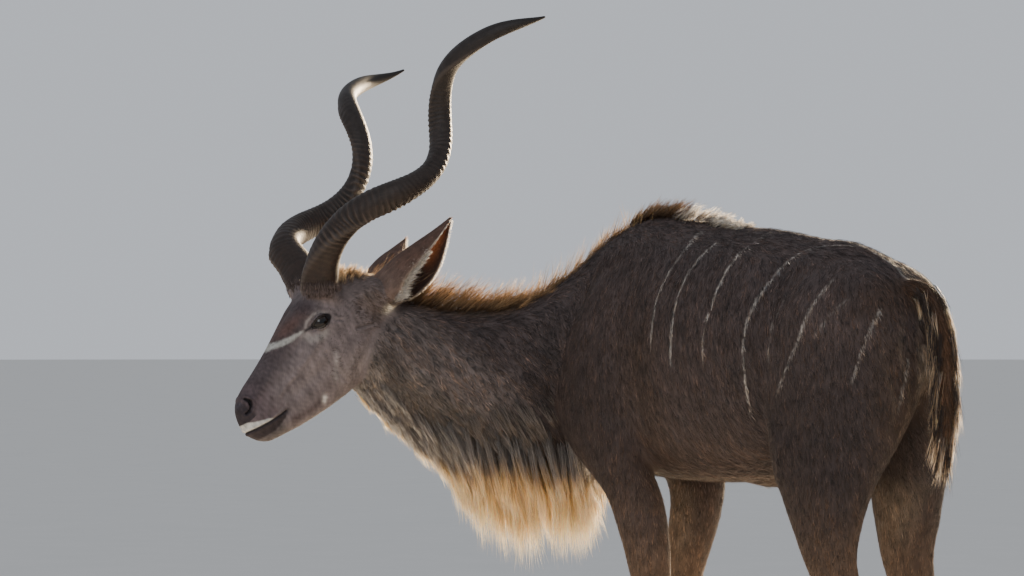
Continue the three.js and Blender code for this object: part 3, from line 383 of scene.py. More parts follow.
def eye_centre(sign):
    return on_head(EYE_AT[0], -sign * EYE_OUT, EYE_AT[1])


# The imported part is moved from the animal's own frame; its left eye says how far
SHIFT = sum(np.array(corner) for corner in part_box("eye_left")) / 2 - eye_centre(-1) / MM


def to_row(points):
    """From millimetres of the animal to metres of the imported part."""
    return points / MM + SHIFT


def to_animal(points):
    return (points - SHIFT) * MM


def mesh_object(name, points, faces, material=None, smooth=True):
    """A mesh object of triangles or quads, from points in the animal's frame."""
    mesh = bpy.data.meshes.new(name)
    size = faces.shape[1]
    mesh.vertices.add(len(points))
    mesh.vertices.foreach_set("co", to_row(points).astype(np.float32).ravel())
    mesh.loops.add(faces.size)
    mesh.loops.foreach_set("vertex_index", faces.astype(np.int32).ravel())
    mesh.polygons.add(len(faces))
    mesh.polygons.foreach_set("loop_start", np.arange(0, faces.size, size, dtype=np.int32))
    mesh.update(calc_edges=True)
    mesh.validate()
    if smooth:
        mesh.polygons.foreach_set("use_smooth", np.ones(len(mesh.polygons), bool))
    if material:
        mesh.materials.append(material)
    made = bpy.data.objects.new(name, mesh)
    bpy.context.scene.collection.objects.link(made)
    return made


def ready(piece, slot, *nodes):
    """Says what a piece rides on and which nodes it stands for, and hides them; slot, where its
    finish would come from, is not used.
    """
    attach(piece, BODY)
    if nodes:
        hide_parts(*nodes)
    return piece


def joined_parts(parts):
    """Several (points, faces) as one."""
    points, faces, start = [], [], 0
    for p, f in parts:
        points.append(p)
        faces.append(f + start)
        start += len(p)
    return np.concatenate(points), np.concatenate(faces)


def put_attributes(mesh, **named):
    """Numbers or colours at the points of a mesh, for its material."""
    for name, values in named.items():
        values = np.asarray(values, np.float32)
        if values.ndim == 1:
            mesh.attributes.new(name, "FLOAT", "POINT").data.foreach_set("value", values)
        else:
            full = np.column_stack([values, np.ones(len(values), np.float32)]).ravel()
            mesh.attributes.new(name, "FLOAT_COLOR", "POINT").data.foreach_set("color", full)


def read(items, field, width, kind=np.float32):
    """A field of all items of a mesh, in rows."""
    flat = np.empty(len(items) * width, kind)
    items.foreach_get(field, flat)
    return flat.reshape(-1, width)


def points_of(mesh):
    return to_animal(read(mesh.vertices, "co", 3).astype(float))


def set_points(mesh, points):
    mesh.vertices.foreach_set("co", to_row(points).astype(np.float32).ravel())
    mesh.update()


def edges_of(mesh):
    return read(mesh.edges, "vertices", 2, np.int32)


def normals_of(mesh):
    return read(mesh.vertex_normals, "vector", 3).astype(float)


def spread_out(values, edges, share, rounds):
    """Values eased towards the mean of their neighbours, by a share at each point, some rounds."""
    values = np.array(values, float)
    flat = values.ndim == 1
    if flat:
        values = values[:, None]
    count = len(values)
    a, b = edges[:, 0], edges[:, 1]
    degree = np.bincount(a, minlength=count) + np.bincount(b, minlength=count)
    degree = np.maximum(degree, 1)[:, None]
    share = np.broadcast_to(np.asarray(share, float), (count,))[:, None]
    for _ in range(rounds):
        mean = np.empty_like(values)
        for k in range(values.shape[1]):
            mean[:, k] = np.bincount(a, values[b, k], count) + np.bincount(b, values[a, k], count)
        values += share * (mean / degree - values)
    return values[:, 0] if flat else values


# Skin

FORM_CODES = ("trunk", "neck", "skull", "tail", "foreleg_left", "foreleg_right", "hindleg_left",
              "hindleg_right", "ear_left", "ear_right")
NECK_CODE, SKULL_CODE, TAIL_CODE, FIRST_EAR = 1, 2, 3, 8
COAT_DEPTH = {"trunk": 6.0, "neck": 6.0, "poll": 3.0, "skull": 2.0, "tail": 6.0, "leg": 2.0,
              "thigh": 5.5}
SHEATH, SCROTUM = ((20, 0, 784), (92, 22, 28)), ((300, 0, 800), (34, 34, 56))
DEWCLAW = (11, 8, 14)
LEG_FOOT, LEG_RING = 54, 11  # height of a leg's lowest ring, and how far apart its rings are


def limb_depth(z):
    return -mix(COAT_DEPTH["leg"], COAT_DEPTH["thigh"], step(250, 700, z))


def form_nets():
    """Each form of the body as rings of points, just under the coat."""
    v = np.linspace(0, 1, 70)
    neck_depth = -mix(COAT_DEPTH["neck"], COAT_DEPTH["poll"], step(0.7, 1, v))
    nets = {
        "trunk": net(trunk, np.linspace(TRUNK.at[0], TRUNK.at[-1], 92), 92, -COAT_DEPTH["trunk"]),
        "neck": net(neck, v, 76, neck_depth),
        "skull": net(skull, np.linspace(SKULL.at[0], SKULL.at[-1], 90), 84, -COAT_DEPTH["skull"]),
        "tail": net(tail, np.linspace(0, 1, 50), 28, -COAT_DEPTH["tail"]),
    }
    for name, (kind, *_) in STANCE.items():
        top = LIMB_ROWS[kind].at[-1]
        z = np.linspace(LEG_FOOT, top, int((top - LEG_FOOT) / LEG_RING))
        nets[name] = net(lambda *at, name=name: limb(name, *at), z, 44, limb_depth(z))
    return nets


def ridge_weight(points, path, radius):
    """How near points are to a line of points, 1 on it and fading over the radius."""
    best = np.full(len(points), 1e9)
    path = np.asarray(path, float)
    for a, b in zip(path[:-1], path[1:]):
        along = np.clip(((points - a) @ (b - a)) / max(((b - a) ** 2).sum(), 1e-6), 0, 1)
        best = np.minimum(best, ((points - a - along[:, None] * (b - a)) ** 2).sum(-1))
    return np.exp(-best / radius**2)


def line_distance(u, w, path):
    """Distance of flat places from a line of flat points."""
    best = np.full(np.shape(u), 1e9)
    path = np.asarray(path, float)
    for (a0, a1), (b0, b1) in zip(path[:-1], path[1:]):
        d0, d1 = b0 - a0, b1 - a1
        along = np.clip(((u - a0) * d0 + (w - a1) * d1) / max(d0 * d0 + d1 * d1, 1e-6), 0, 1)
        best = np.minimum(best, (u - a0 - along * d0) ** 2 + (w - a1 - along * d1) ** 2)
    return np.sqrt(best)


def remeshed(points, faces, voxel):
    """The outside of overlapping closed forms as one even net."""
    whole = mesh_object("whole", points, faces, smooth=False)
    remesh = whole.modifiers.new("even", "REMESH")
    remesh.mode = "VOXEL"
    remesh.voxel_size = voxel
    bpy.context.view_layer.update()
    shown = whole.evaluated_get(bpy.context.evaluated_depsgraph_get())
    mesh = bpy.data.meshes.new_from_object(shown)
    bpy.data.objects.remove(whole)
    return mesh


def finer(mesh, chosen):
    """Parts in two the edges of a mesh whose ends are both chosen."""
    net_mesh = bmesh.new()
    net_mesh.from_mesh(mesh)
    net_mesh.verts.ensure_lookup_table()
    edges = [e for e in net_mesh.edges if all(chosen[v.index] for v in e.verts)]
    bmesh.ops.subdivide_edges(net_mesh, edges=edges, cuts=1, use_grid_fill=True)
    bmesh.ops.triangulate(net_mesh, faces=[f for f in net_mesh.faces if len(f.verts) > 4])
    net_mesh.to_mesh(mesh)
    net_mesh.free()


def head_zone(points):
    """Places on the head and whether a point belongs to it."""
    t, left, h = head_places(points)
    on = (t > -175) & (t < 310) & (np.abs(left) < 130) & (h > -215) & (h < 110)
    return t, left, h, on


# The lids: an almond opening over the ball of the eye

EYE_SLANT = math.radians(15)
OPENING = {"long": 20.6, "upper": 11.8, "lower": 9.6}
LID_STANDS = 2.0


def eye_places(points, sign):
    """Place along and across the opening, and the way out from the middle of the eye."""
    centre = eye_centre(sign)
    away = points - centre
    reach = np.linalg.norm(away, axis=-1)
    way = away / np.maximum(reach, 1e-6)[:, None]
    t, h = away @ HEAD_FORWARD, away @ HEAD_UP
    out = way @ (HEAD_LEFT * -sign)
    c, s = math.cos(EYE_SLANT), math.sin(EYE_SLANT)
    return centre, way, reach, t * c + h * s, -t * s + h * c, out


def eye_point(sign, along, across, radius):
    """A place on a ball round the middle of the eye, seen straight on."""
    c, s = math.cos(EYE_SLANT), math.sin(EYE_SLANT)
    t, h = along * c - across * s, along * s + across * c
    out = np.sqrt(np.maximum(radius**2 - t**2 - h**2, 0))
    return (eye_centre(sign) + t[:, None] * HEAD_FORWARD + h[:, None] * HEAD_UP
            + out[:, None] * HEAD_LEFT * -sign)


def opening_share(along, across):
    """1 on the rim of the opening, less inside; drawn to a point at its front corner."""
    tall = np.where(across > 0, OPENING["upper"], OPENING["lower"])
    front = np.clip(along / OPENING["long"], -1, 1)
    tall = tall * (1 - 0.18 * np.clip(front, 0, 1) ** 2)
    return np.sqrt((along / OPENING["long"]) ** 2 + (across / tall) ** 2)


def shape_lids(points):
    for sign in SIDES.values():
        centre, way, reach, along, across, out = eye_places(points, sign)
        near = (reach < 62) & (out > 0.1)
        e = opening_share(along, across)
        over = EYE_RADIUS + LID_STANDS + 1.2 * step(-2, 6, across)
        inside = EYE_RADIUS - 4.0
        lid = mix(inside, over, step(0.93, 1.05, e))
        fold = 1.7 * bell(e - 1.6, 0.12) * (across > -2) + 1.0 * bell(e - 1.5, 0.1) * (across < -2)
        lid_zone = over - fold - 1.5 * step(1.15, 1.6, e)
        lid = np.where(e > 1.05, lid_zone, lid)
        corner = np.clip((along / OPENING["long"]) ** 2 / np.maximum(e, 0.3) ** 2, 0, 1)
        blend = step(0, 1, (e - mix(1.3, 1.06, corner)) / mix(0.85, 0.5, corner))
        wanted = mix(lid, np.maximum(reach, 0) - fold, blend)
        points = np.where(near[:, None], centre + way * wanted[:, None], points)
    return points


NOSTRIL_LINE = [(262, -28), (252, -29), (243, -24), (237, -14), (239, -4)]
MOUTH_LINE = [(190, -92), (205, -88.5), (220, -84.5), (236, -80), (252, -74.5), (268, -69),
              (283, -63), (296, -60)]
CHEEK_FOLD = [(114, -67), (119, -60), (144, -59), (166, -61), (182, -66), (190, -80)]


def raised(share, u, w, strokes):
    """How far strokes (line, width, height) lift flat places, times a share at each."""
    return sum(share * lift * bell(line_distance(u, w, line), size) for line, size, lift in strokes)


def shape_muzzle(points, normals):
    t, left, h, on = head_zone(points)
    side = np.abs(left)
    push = np.zeros(len(points))
    nostril = line_distance(t, h, NOSTRIL_LINE)
    size = 3.6 + 2.6 * bell(t - 242, 9) * bell(h + 18, 12)
    hollow = (1 - step(size * 0.3, size, nostril)) * (side > 12)
    push -= on * hollow * (3.4 + 3.6 * bell(h + 18, 9))
    push += on * (side > 12) * 1.8 * bell(nostril - size - 2.5, 3.0) * (t > 205)
    mouth = line_distance(t, h, MOUTH_LINE)
    lips = on * (t > 182)
    push -= lips * 3.2 * bell(mouth, 1.9)
    push += lips * 1.5 * bell(mouth - 6, 4.0) * step(190, 230, t)
    push -= on * 2.2 * bell(np.hypot(t - 192, h + 93), 6.5)
    cleft = bell(side, 1.6) * step(238, 256, t) * (h < -10) * (h > -60)
    push -= on * 1.8 * cleft
    return points + normals * push[:, None]


HEAD_STROKES = [  # lines of places forward and up, their width and how far they stand out
    ([(28, -34), (60, -42), (100, -46)], 9, 2.6),  # cheekbone ridge below the eye
    ([(40, -8), (70, -6), (110, -14)], 11, -2.2),  # hollow before the eye
    ([(60, -88), (100, -86), (150, -78)], 16, -2.6),  # hollow of the cheek
    ([(-30, -110), (0, -130), (40, -150)], 18, 3.0),  # edge of the jaw muscle
    ([(36, -70), (44, -110), (40, -150)], 7, -2.0),  # front edge of the jaw muscle
    ([(-54, -81), (-72, -92), (-94, -105)], 3.5, -2.0),  # wrinkle behind the eye
    ([(-28, -30), (-44, -44)], 3.5, -1.2),
    (CHEEK_FOLD, 6.0, -0.8),  # fold up from the corner of the mouth
    ([(122, -50), (150, -50), (176, -54)], 7, 1.2),
    ([(150, -10), (200, -14), (226, -18)], 10, 1.8),  # bone beside the nose
    ([(-95, -60), (-110, -100), (-112, -140)], 12, -3.2), # behind the jaw
    ([(10, 26), (-20, 22)], 9, 2.0),  # brow
    ([(190, -118), (230, -116), (262, -104)], 12, 1.6),  # chin
]


def shape_head(points, normals):
    """Folds, cheek and jaw of the head, on both sides."""
    t, left, h, on = head_zone(points)
    side = np.abs(left)
    push = raised(on * step(12, 30, side), t, h, HEAD_STROKES)
    push -= on * 2.0 * bell(side, 9) * bell(t - 30, 40) * (h > 0)
    push -= on * 8.0 * bell(t + 128, 34) * step(-40, 0, h)
    return points + normals * push[:, None]


BODY_STROKES = [  # lines of places along the body and heights, their width and lift
    ([(-470, 1290), (-440, 1180), (-452, 1050)], 26, 4.0),  # blade of the shoulder
    ([(-380, 1290), (-330, 1180), (-300, 1080)], 30, 3.5),
    ([(-400, 1240), (-385, 1120), (-400, 1010)], 20, -3.5),
    ([(-262, 1150), (-236, 1040), (-250, 930)], 26, -5.0),  # behind the upper arm
    ([(-330, 1010), (-300, 920), (-310, 850)], 36, 5.0),  # back of the upper arm
    ([(-430, 900), (-420, 850)], 26, 4.0),
    ([(205, 1240), (270, 1140), (262, 1010), (225, 900)], 44, -9.0),  # flank
    ([(252, 905), (286, 850), (290, 800)], 18, 4.0),  # fold of the flank
    ([(262, 1262), (300, 1250)], 26, 5.0),  # point of the hip
    ([(330, 1190), (352, 1060), (352, 930)], 30, 3.0),
    ([(430, 1180), (446, 1050), (436, 930), (420, 830)], 18, -4.0),  # seam of the thigh
    ([(500, 1130), (500, 1000), (478, 880)], 26, 3.0),
    ([(300, 860), (270, 800)], 26, 5.0),  # stifle
    ([(380, 780), (400, 700)], 30, 3.0),
]


def shape_body(points, normals, form):
    """Muscles, ribs and folds of the body and limbs, on both sides."""
    x, y, z = points.T
    body = (x > -640) & (np.abs(y) < 260) & (z > 640)
    outer = step(40, 90, np.abs(y))
    push = raised(body * outer, x, z, BODY_STROKES)
    ribs = np.cos((x + (z - 900) * 0.22) * 2 * np.pi / 44)
    rib_zone = step(-230, -160, x) * (1 - step(110, 200, x)) * step(850, 930, z)
    rib_zone = rib_zone * (1 - step(1140, 1240, z)) * outer
    push += body * 0.9 * ribs * rib_zone
    spine = bell(y, 16) * (z > 1150) * step(-120, 0, x) * (1 - step(440, 520, x))
    push += 2.5 * spine
    push += shape_limbs(points, form)
    return points + normals * push[:, None]


LIMB_STROKES = {  # lines of places ahead and heights, their width and how far they stand out
    "fore": [
        ([(18, 700), (14, 600), (6, 500)], 13, 3.0),
        ([(-28, 690), (-22, 590), (-16, 500)], 12, 2.6),
        ([(-6, 700), (-6, 600), (-4, 500)], 7, -2.6), ([(8, 440), (10, 405)], 17, 3.0),
        ([(-18, 430), (-18, 400)], 12, 2.2), ([(-6, 370), (-8, 260), (-8, 165)], 4, -1.9),
        ([(-17, 360), (-19, 250), (-22, 150)], 6, 1.5), ([(-2, 128), (-2, 128)], 14, 1.5),
    ],
    "hind": [
        ([(30, 700), (22, 620), (8, 560)], 18, 3.5),
        ([(-20, 650), (-34, 590), (-40, 530)], 9, -4.0),
        ([(-48, 600), (-52, 530)], 9, 2.5), ([(6, 500), (4, 450)], 17, 3.0),
        ([(-34, 500), (-30, 450)], 11, 2.2), ([(-6, 400), (-8, 280), (-8, 165)], 4, -1.9),
        ([(-18, 400), (-20, 260), (-22, 150)], 6, 1.5), ([(8, 420), (8, 380)], 9, 1.6),
    ],
}


def shape_limbs(points, form):
    x, _, z = points.T
    push = np.zeros(len(points))
    for name, (kind, *_) in STANCE.items():
        size = LIMB_ROWS[kind](z)
        ahead = size["dx"] + limb_drift(name, z) - x
        mine = (form == FORM_CODES.index(name)) & (z < 780)
        push += raised(mine * (1 - step(690, 780, z)), ahead, z, LIMB_STROKES[kind])
    return push


# Where a point lies on the forms, and how its hair lies

def form_guides(nets):
    """Places on every form, with the lie, length and width of the hair there."""
    rows = []
    for name, (rings, places, angles) in nets.items():
        p, places, angles = rings.reshape(-1, 3), places.ravel(), angles.ravel()
        along = (places - places.min()) / (places.max() - places.min())
        code = np.full(len(p), FORM_CODES.index(name))
        lie, length, width = lie_of(name, p, places, angles)
        turn = (angles / (2 * np.pi)) % 1
        rows.append(np.column_stack([p, code, along, turn, lie, length, width]))
    return np.concatenate(rows)


def lie_of(name, p, place, angle):
    x, y, z = p.T
    rise = np.sin(angle)
    one = np.ones(len(p))
    if name == "trunk":
        top = step(0.72, 0.98, rise)[:, None]
        under = step(0.7, 0.97, -rise)[:, None]
        rump = step(280, 460, x)[:, None]
        flank = mix(np.array([0.3, 0, -1.0]), np.array([0.5, 0, -0.9]), rump)
        fold = (bell(x - 240, 90) * (1 - step(880, 1000, z)))[:, None]
        flank = mix(flank, np.array([0.9, 0, -0.35]), fold)
        over = mix(np.array([1.0, 0, -0.15]), np.array([0.9, 0, -0.5]), rump)
        lie = mix(mix(flank, over, top), np.array([1.0, 0, 0.0]), under)
        length = 20 + 7 * top[:, 0] + 8 * under[:, 0] + 4 * rump[:, 0]
        return unit(lie), length, 3.1 * one
    if name == "neck":
        ahead = NECK_PATH.ahead(place)
        top = step(0.75, 0.98, rise)[:, None]
        under = step(0.3, 0.9, -rise)[:, None]
        lie = -ahead * 0.62 - UP * 0.8
        lie = mix(lie, -ahead + 0.25 * UP, top)
        lie = mix(lie, -UP - 0.15 * ahead, under)
        length = 19 + 8 * top[:, 0] + 22 * under[:, 0]
        length = mix(length, 14 + 14 * under[:, 0], step(0.75, 1, place))
        return unit(lie), length, 3.1 * one
    if name == "skull":
        t, _, h = head_places(p)
        down = step(-20, -110, h)[:, None] * (1 - step(150, 230, t))[:, None]
        lie = -HEAD_FORWARD + 0 * p
        lie = mix(lie, -HEAD_FORWARD * 0.55 - HEAD_UP * 0.85, down)
        back = step(-40, -110, t)[:, None]
        lie = mix(lie, -HEAD_FORWARD * 0.7 - UP * 0.8, back * step(20, -30, h)[:, None])
        length = mix(9.5, 4.5, step(20, 220, t)) + 7 * back[:, 0]
        return unit(lie), length, mix(1.9, 1.25, step(20, 220, t))
    if name == "tail":
        ahead = TAIL_PATH.ahead(place)
        return unit(ahead + 0.25 * np.sign(y)[:, None] * np.array([0, 1.0, 0])), 30 * one, 2.0 * one
    down = np.array([0.16, 0, -1.0])
    high = step(600, 900, z)[:, None]
    lie = mix(np.array([0.05, 0, -1.0]), down, high) + 0 * p
    if name.startswith("hind"):
        rear = step(-20, -90, THIGH_MIDDLE - x)[:, None]
        lie = mix(lie, np.array([0.35, 0, -1.0]), high * rear)
    length = mix(mix(5.5, 9, step(120, 350, z)), 17, step(350, 760, z))
    behind = np.sin(angle) < -0.5
    length = length + behind * 8 * bell(z - 135, 45)
    return unit(lie), length, mix(1.7, 2.7, step(200, 760, z))


def tree_of(places):
    tree = KDTree(len(places))
    for i, place in enumerate(places.tolist()):
        tree.insert(place, i)
    tree.balance()
    return tree


def read_guides(points, guides):
    """For each point, what the nearest place on the forms says."""
    tree = tree_of(guides[:, :3])
    found = np.fromiter((tree.find(p)[1] for p in points.tolist()), int, len(points))
    return guides[found]


# Ears: long leaves rolled into a cup that opens outward

EAR_POSE = {"ear_left": (-1, 141, 173, 80), "ear_right": (1, 152, 141, 80)}
EAR_ROOT = (-152, 52, -78)
EAR_FACING = (-0.29, 0.79, -0.53)
EAR_CURL, EAR_TIP_CURL, EAR_BACK = 14.0, 0.6, 1.75
EAR = Rows("v half deep", [(0, 36, 32), (0.08, 40, 34), (0.22, 46, 38), (0.4, 50, 37),
                           (0.6, 43, 28), (0.78, 26, 17), (0.92, 11, 8), (1, 3, 3)])
EAR_SWEEP, SWEEP_PACE = (11, 8), 0.75  # how far the middle hangs back and down
EAR_SIDES, EAR_STATIONS = 40, 64  # places round the outside of an ear, and rings along it
EAR_OPEN = Rows("v gape", [(0, 4), (0.1, 12), (0.25, 52), (0.5, 62), (0.8, 60), (1, 50)])
EAR_WALL = Rows("v wall", [(0, 10), (0.3, 6.5), (0.7, 5), (1, 3)])


def ear_frame(name):
    sign, back, rise, out = EAR_POSE[name]
    left = HEAD_LEFT_LEVEL * -sign
    root = on_head(EAR_ROOT[0], -sign * EAR_ROOT[1], EAR_ROOT[2])
    reach = -back * HEAD_AHEAD + rise * UP + out * left
    axis = unit(reach)
    facing = EAR_FACING[0] * HEAD_AHEAD + EAR_FACING[1] * left + EAR_FACING[2] * UP
    facing = unit(facing - (facing @ axis) * axis)
    return root, axis, facing, np.cross(axis, facing), np.linalg.norm(reach)


def ear_point(name, v, angle, inward=0.0):
    """A place on the ear; angle is round it from the middle of its opening."""
    root, axis, facing, wide, length = ear_frame(name)
    size = EAR(v)
    bow = EAR_CURL * (np.sin(v * np.pi) - v * EAR_TIP_CURL)
    half = size["half"] - 1.5 - inward
    front, back = size["deep"] * 0.95, size["deep"] * EAR_BACK - 1 - inward
    across = np.sin(angle) * half
    out = np.cos(angle) * np.where(np.cos(angle) > 0, front, back)
    sweep = np.sin(np.pi * np.clip(v, 0, 1) ** SWEEP_PACE)[..., None]
    hang = -EAR_SWEEP[0] * HEAD_AHEAD - EAR_SWEEP[1] * UP
    return (root + (v * length)[..., None] * axis + (bow + out)[..., None] * facing
            + across[..., None] * wide + sweep * hang)


def ear_shell(name):
    """The ear as one closed shell: round its back, over each edge and back inside."""
    v = np.linspace(0, 1, EAR_STATIONS)[:, None]
    gape = np.radians(EAR_OPEN(v)["gape"])
    share = np.linspace(0, 1, EAR_SIDES)
    angle = gape + share * (2 * np.pi - 2 * gape)
    v = v + 0 * angle
    outer = ear_point(name, v, angle)
    wall = EAR_WALL(v)["wall"] * np.sin(np.pi * share) ** 0.35
    inner = ear_point(name, v, angle, wall)[:, ::-1]
    return np.concatenate([outer, inner[:, 1:-1]], axis=1)


def ear_foot(name):
    """The fleshy root of an ear under the skin of the head."""
    v, angle = np.meshgrid(np.linspace(-0.12, 0.16, 14), around(40), indexing="ij")
    return ear_point(name, v, angle, mix(-3.0, 4.0, step(0.0, 0.16, v)))


def ear_mound(name):
    """The muscle between the crown of the head and an ear."""
    root = ear_frame(name)[0]
    return ball(root + 20 * HEAD_AHEAD + 12 * UP, (32, 36, 30))


def ear_shares(form, unwrap):
    """How far along an ear points lie, how near its front edge, and whether inside it."""
    last = EAR_SIDES - 1
    i = unwrap[:, 1] * 2 * last
    inside = i > last + 0.5
    share = np.where(inside, 2 * last - i, i) / last
    front = np.where(form == FORM_CODES.index("ear_left"), share, 1 - share)
    return np.stack([unwrap[:, 0], front, inside.astype(float)], -1)


# Horns: spirals that open outward, wrinkled across, with a keel that winds with them

HORN_AXIS = (-0.922, 0.18, 0.344)  # shares forward, up and outward of the head
HORN_LENGTH, HORN_TURNS, HORN_FLAT = 788.0, 1.69, 0.92
HORN_ROOT = {"left": (-63, 52, 38, -108.9, 0), "right": (-56, 52, 67, -91.9, 33)}
HORN_FOOT = (-58, 36, -6, 33)  # place inside the head that the root rises from, and its radius
HORN_SPIRAL = Rows("v radius", [(0, 55.6), (0.12, 38.4), (0.25, 37.4), (0.4, 52.5), (0.55, 58.4),
                                (0.7, 49.1), (0.85, 43.1), (1, 74)])
HORN_THICKNESS = Rows("v radius", [(-0.03, 32), (-0.01, 37.5), (0, 39), (0.1, 37.5), (0.27, 31.5),
                                   (0.44, 27), (0.58, 24), (0.73, 22.5), (0.86, 18), (0.94, 11),
                                   (1, 2.5)])
HORN_STATIONS, HORN_SIDES = 620, 26  # rings along a horn, and places round each
RIDGE_GAP, WRINKLE_GAP = 12.5, 3.9


def horn_line(side, v):
    sign = SIDES[side]
    outward = HEAD_LEFT * -sign
    axis = unit(HORN_AXIS[0] * HEAD_FORWARD + HORN_AXIS[1] * HEAD_UP + HORN_AXIS[2] * outward)
    first = unit(HEAD_UP - (HEAD_UP @ axis) * axis)
    second = unit(outward - (outward @ axis) * axis - (outward @ first) * first)
    t, out, h, phase, slide = HORN_ROOT[side]
    root = on_head(t, -sign * out, h)

    def offset(at):
        radius = HORN_SPIRAL(at)["radius"]
        angle = math.radians(phase) + 2 * np.pi * HORN_TURNS * at
        return np.stack([radius * np.cos(angle), radius * np.sin(angle)], -1)

    v = np.asarray(v, float)
    ab = offset(v) - offset(np.zeros(1))
    line = root + (v * HORN_LENGTH)[:, None] * axis + ab[:, :1] * first + ab[:, 1:] * second
    return line + (slide * (step(0.04, 0.17, v) - 1))[:, None] * HEAD_AHEAD, axis


def horn_directions(side, v):
    centre, axis = horn_line(side, v)
    ahead = unit(horn_line(side, v + 0.004)[0] - centre)
    across = unit(np.cross(axis, ahead))
    return centre, ahead, across, unit(np.cross(ahead, across))


def horn_foot(side):
    """The root of a horn under the skin, up from inside the head."""
    centre, ahead, across, outward = horn_directions(side, np.zeros(1))
    t, out, h, radius = HORN_FOOT
    start = on_head(t, -SIDES[side] * out, h)
    share = np.linspace(0, 1, 12)[:, None, None]
    angle = around(40)[None, :, None]
    size = mix(radius, HORN_THICKNESS(0.0)["radius"] + 6.0, share**0.45)
    size = size * (1 + 0.12 * bell(np.minimum(angle, 2 * np.pi - angle), 0.5))
    middle = start + (centre[0] + 2.0 * ahead[0] - start) * share
    return (middle - outward[0] * np.cos(angle) * size
            + across[0] * np.sin(angle) * size * HORN_FLAT * SIDES[side])


def horn_mesh(side, rng):
    v = np.linspace(-0.025, 1, HORN_STATIONS)
    centre, _, across, outward = horn_directions(side, v)
    angle = around(HORN_SIDES)
    turned = np.minimum(angle, 2 * np.pi - angle)
    gone = np.concatenate([[0], np.cumsum(np.linalg.norm(np.diff(centre, axis=0), axis=1))])
    s, a = gone[:, None], angle[None, :]
    drift = sum(np.sin(s / size + rng.uniform(0, 6.3) + k * a) * amount
                for size, k, amount in ((31, 1, 1.3), (17, 2, 0.8), (57, 1, 1.7), (9.7, 3, 0.35)))
    wave = np.sin(2 * np.pi * s / RIDGE_GAP + 2.4 * np.sin(s / 53) + 1.5 * drift)
    small = np.sin(2 * np.pi * s / WRINKLE_GAP + drift * 1.7 + 2 * np.sin(a * 3 + s / 23))
    fade = (mix(0.3, 1.0, step(0.06, 0.2, v)) * (1 - step(0.5, 0.76, v)))[:, None]
    by_keel = 0.55 + 0.95 * bell(turned, 0.9)[None, :]
    strength = by_keel * (0.75 + 0.35 * np.sin(s / 37 + a) * np.sin(s / 19.0 + 2))
    ridges = fade * strength * (1.25 * wave * np.abs(wave) ** 0.5 + 0.35 * small)
    size = HORN_THICKNESS(v)["radius"][:, None] * (1 + 0.2 * bell(turned, 0.34))[None, :]
    size = size + ridges * step(0, 0.35, 1 - v)[:, None]
    flat = 1 - (1 - HORN_FLAT) * np.abs(np.sin(angle))[None, :]
    rings = (centre[:, None] - outward[:, None] * (np.cos(a) * size)[..., None]
             + across[:, None] * (np.sin(a) * size * flat * SIDES[side])[..., None])
    along = np.append(np.repeat(v, HORN_SIDES), [v[0], v[-1]])
    keel = np.append(np.tile(turned, HORN_STATIONS), [0, 0])
    relief = np.append(ridges.ravel(), [0, 0])
    return capped(rings), {"along": along, "keel": keel, "relief": relief}


# Hooves: two claws with pointed toes, flat on the floor

HOOF_WIDTH, CLEFT, CLAW_POINT, CLAW_LEAN = 29.0, 4.0, 0.35, 3.0
CLAW = Rows("z toe heel wide ahead", [(0, 52, 27, 1, 12), (5, 52, 29, 1.03, 12),
                                      (30, 40, 28, 0.98, 5), (58, 28, 24, 0.88, 0)])
SOLE_EDGE = ((0, -1.6), (0.6, -0.5), (2, -0.1))  # heights at the rounded edge, and its growth


def claw_mesh(limb_name, inner):
    kind, sign, _, foot = STANCE[limb_name]
    last = LIMB_ROWS[kind](LEG_FOOT)
    to_cleft = sign if inner else -sign
    y = sign * last["y"] - to_cleft * (HOOF_WIDTH + CLEFT) / 2
    z, edge = np.concatenate([SOLE_EDGE, [(up, 0) for up in np.linspace(4, 58, 34)]]).T
    size = CLAW(z)
    angle = around(56)
    c, s = np.cos(angle)[None, :], np.sin(angle)[None, :]
    toe, heel, wide, ahead = (size[k][:, None] for k in ("toe", "heel", "wide", "ahead"))
    along = np.where(c > 0, c * toe, c * heel)
    narrow = 1 - CLAW_POINT * np.maximum(c, 0) ** 2
    lean = to_cleft * CLAW_LEAN * np.maximum(c, 0) ** 2
    ring = 0.35 * np.sin(z / 1.7 + 1.3 * np.sin(z / 6))[:, None] * (z > 4)[:, None]
    grow = 1 + (ring + edge[:, None]) / 20
    x = foot + last["dx"] - ahead - along * grow
    y = y + s * narrow * wide * HOOF_WIDTH / 2 * grow + lean
    return capped(np.stack([x, y, z[:, None] + 0 * x], -1))


# Hair: closed tapered strands of three sides, each bent as it lies

ROOT_SUNK, ROOT_WIDE = 0.5, 0.65  # depth of a root under the skin, and its share of full width


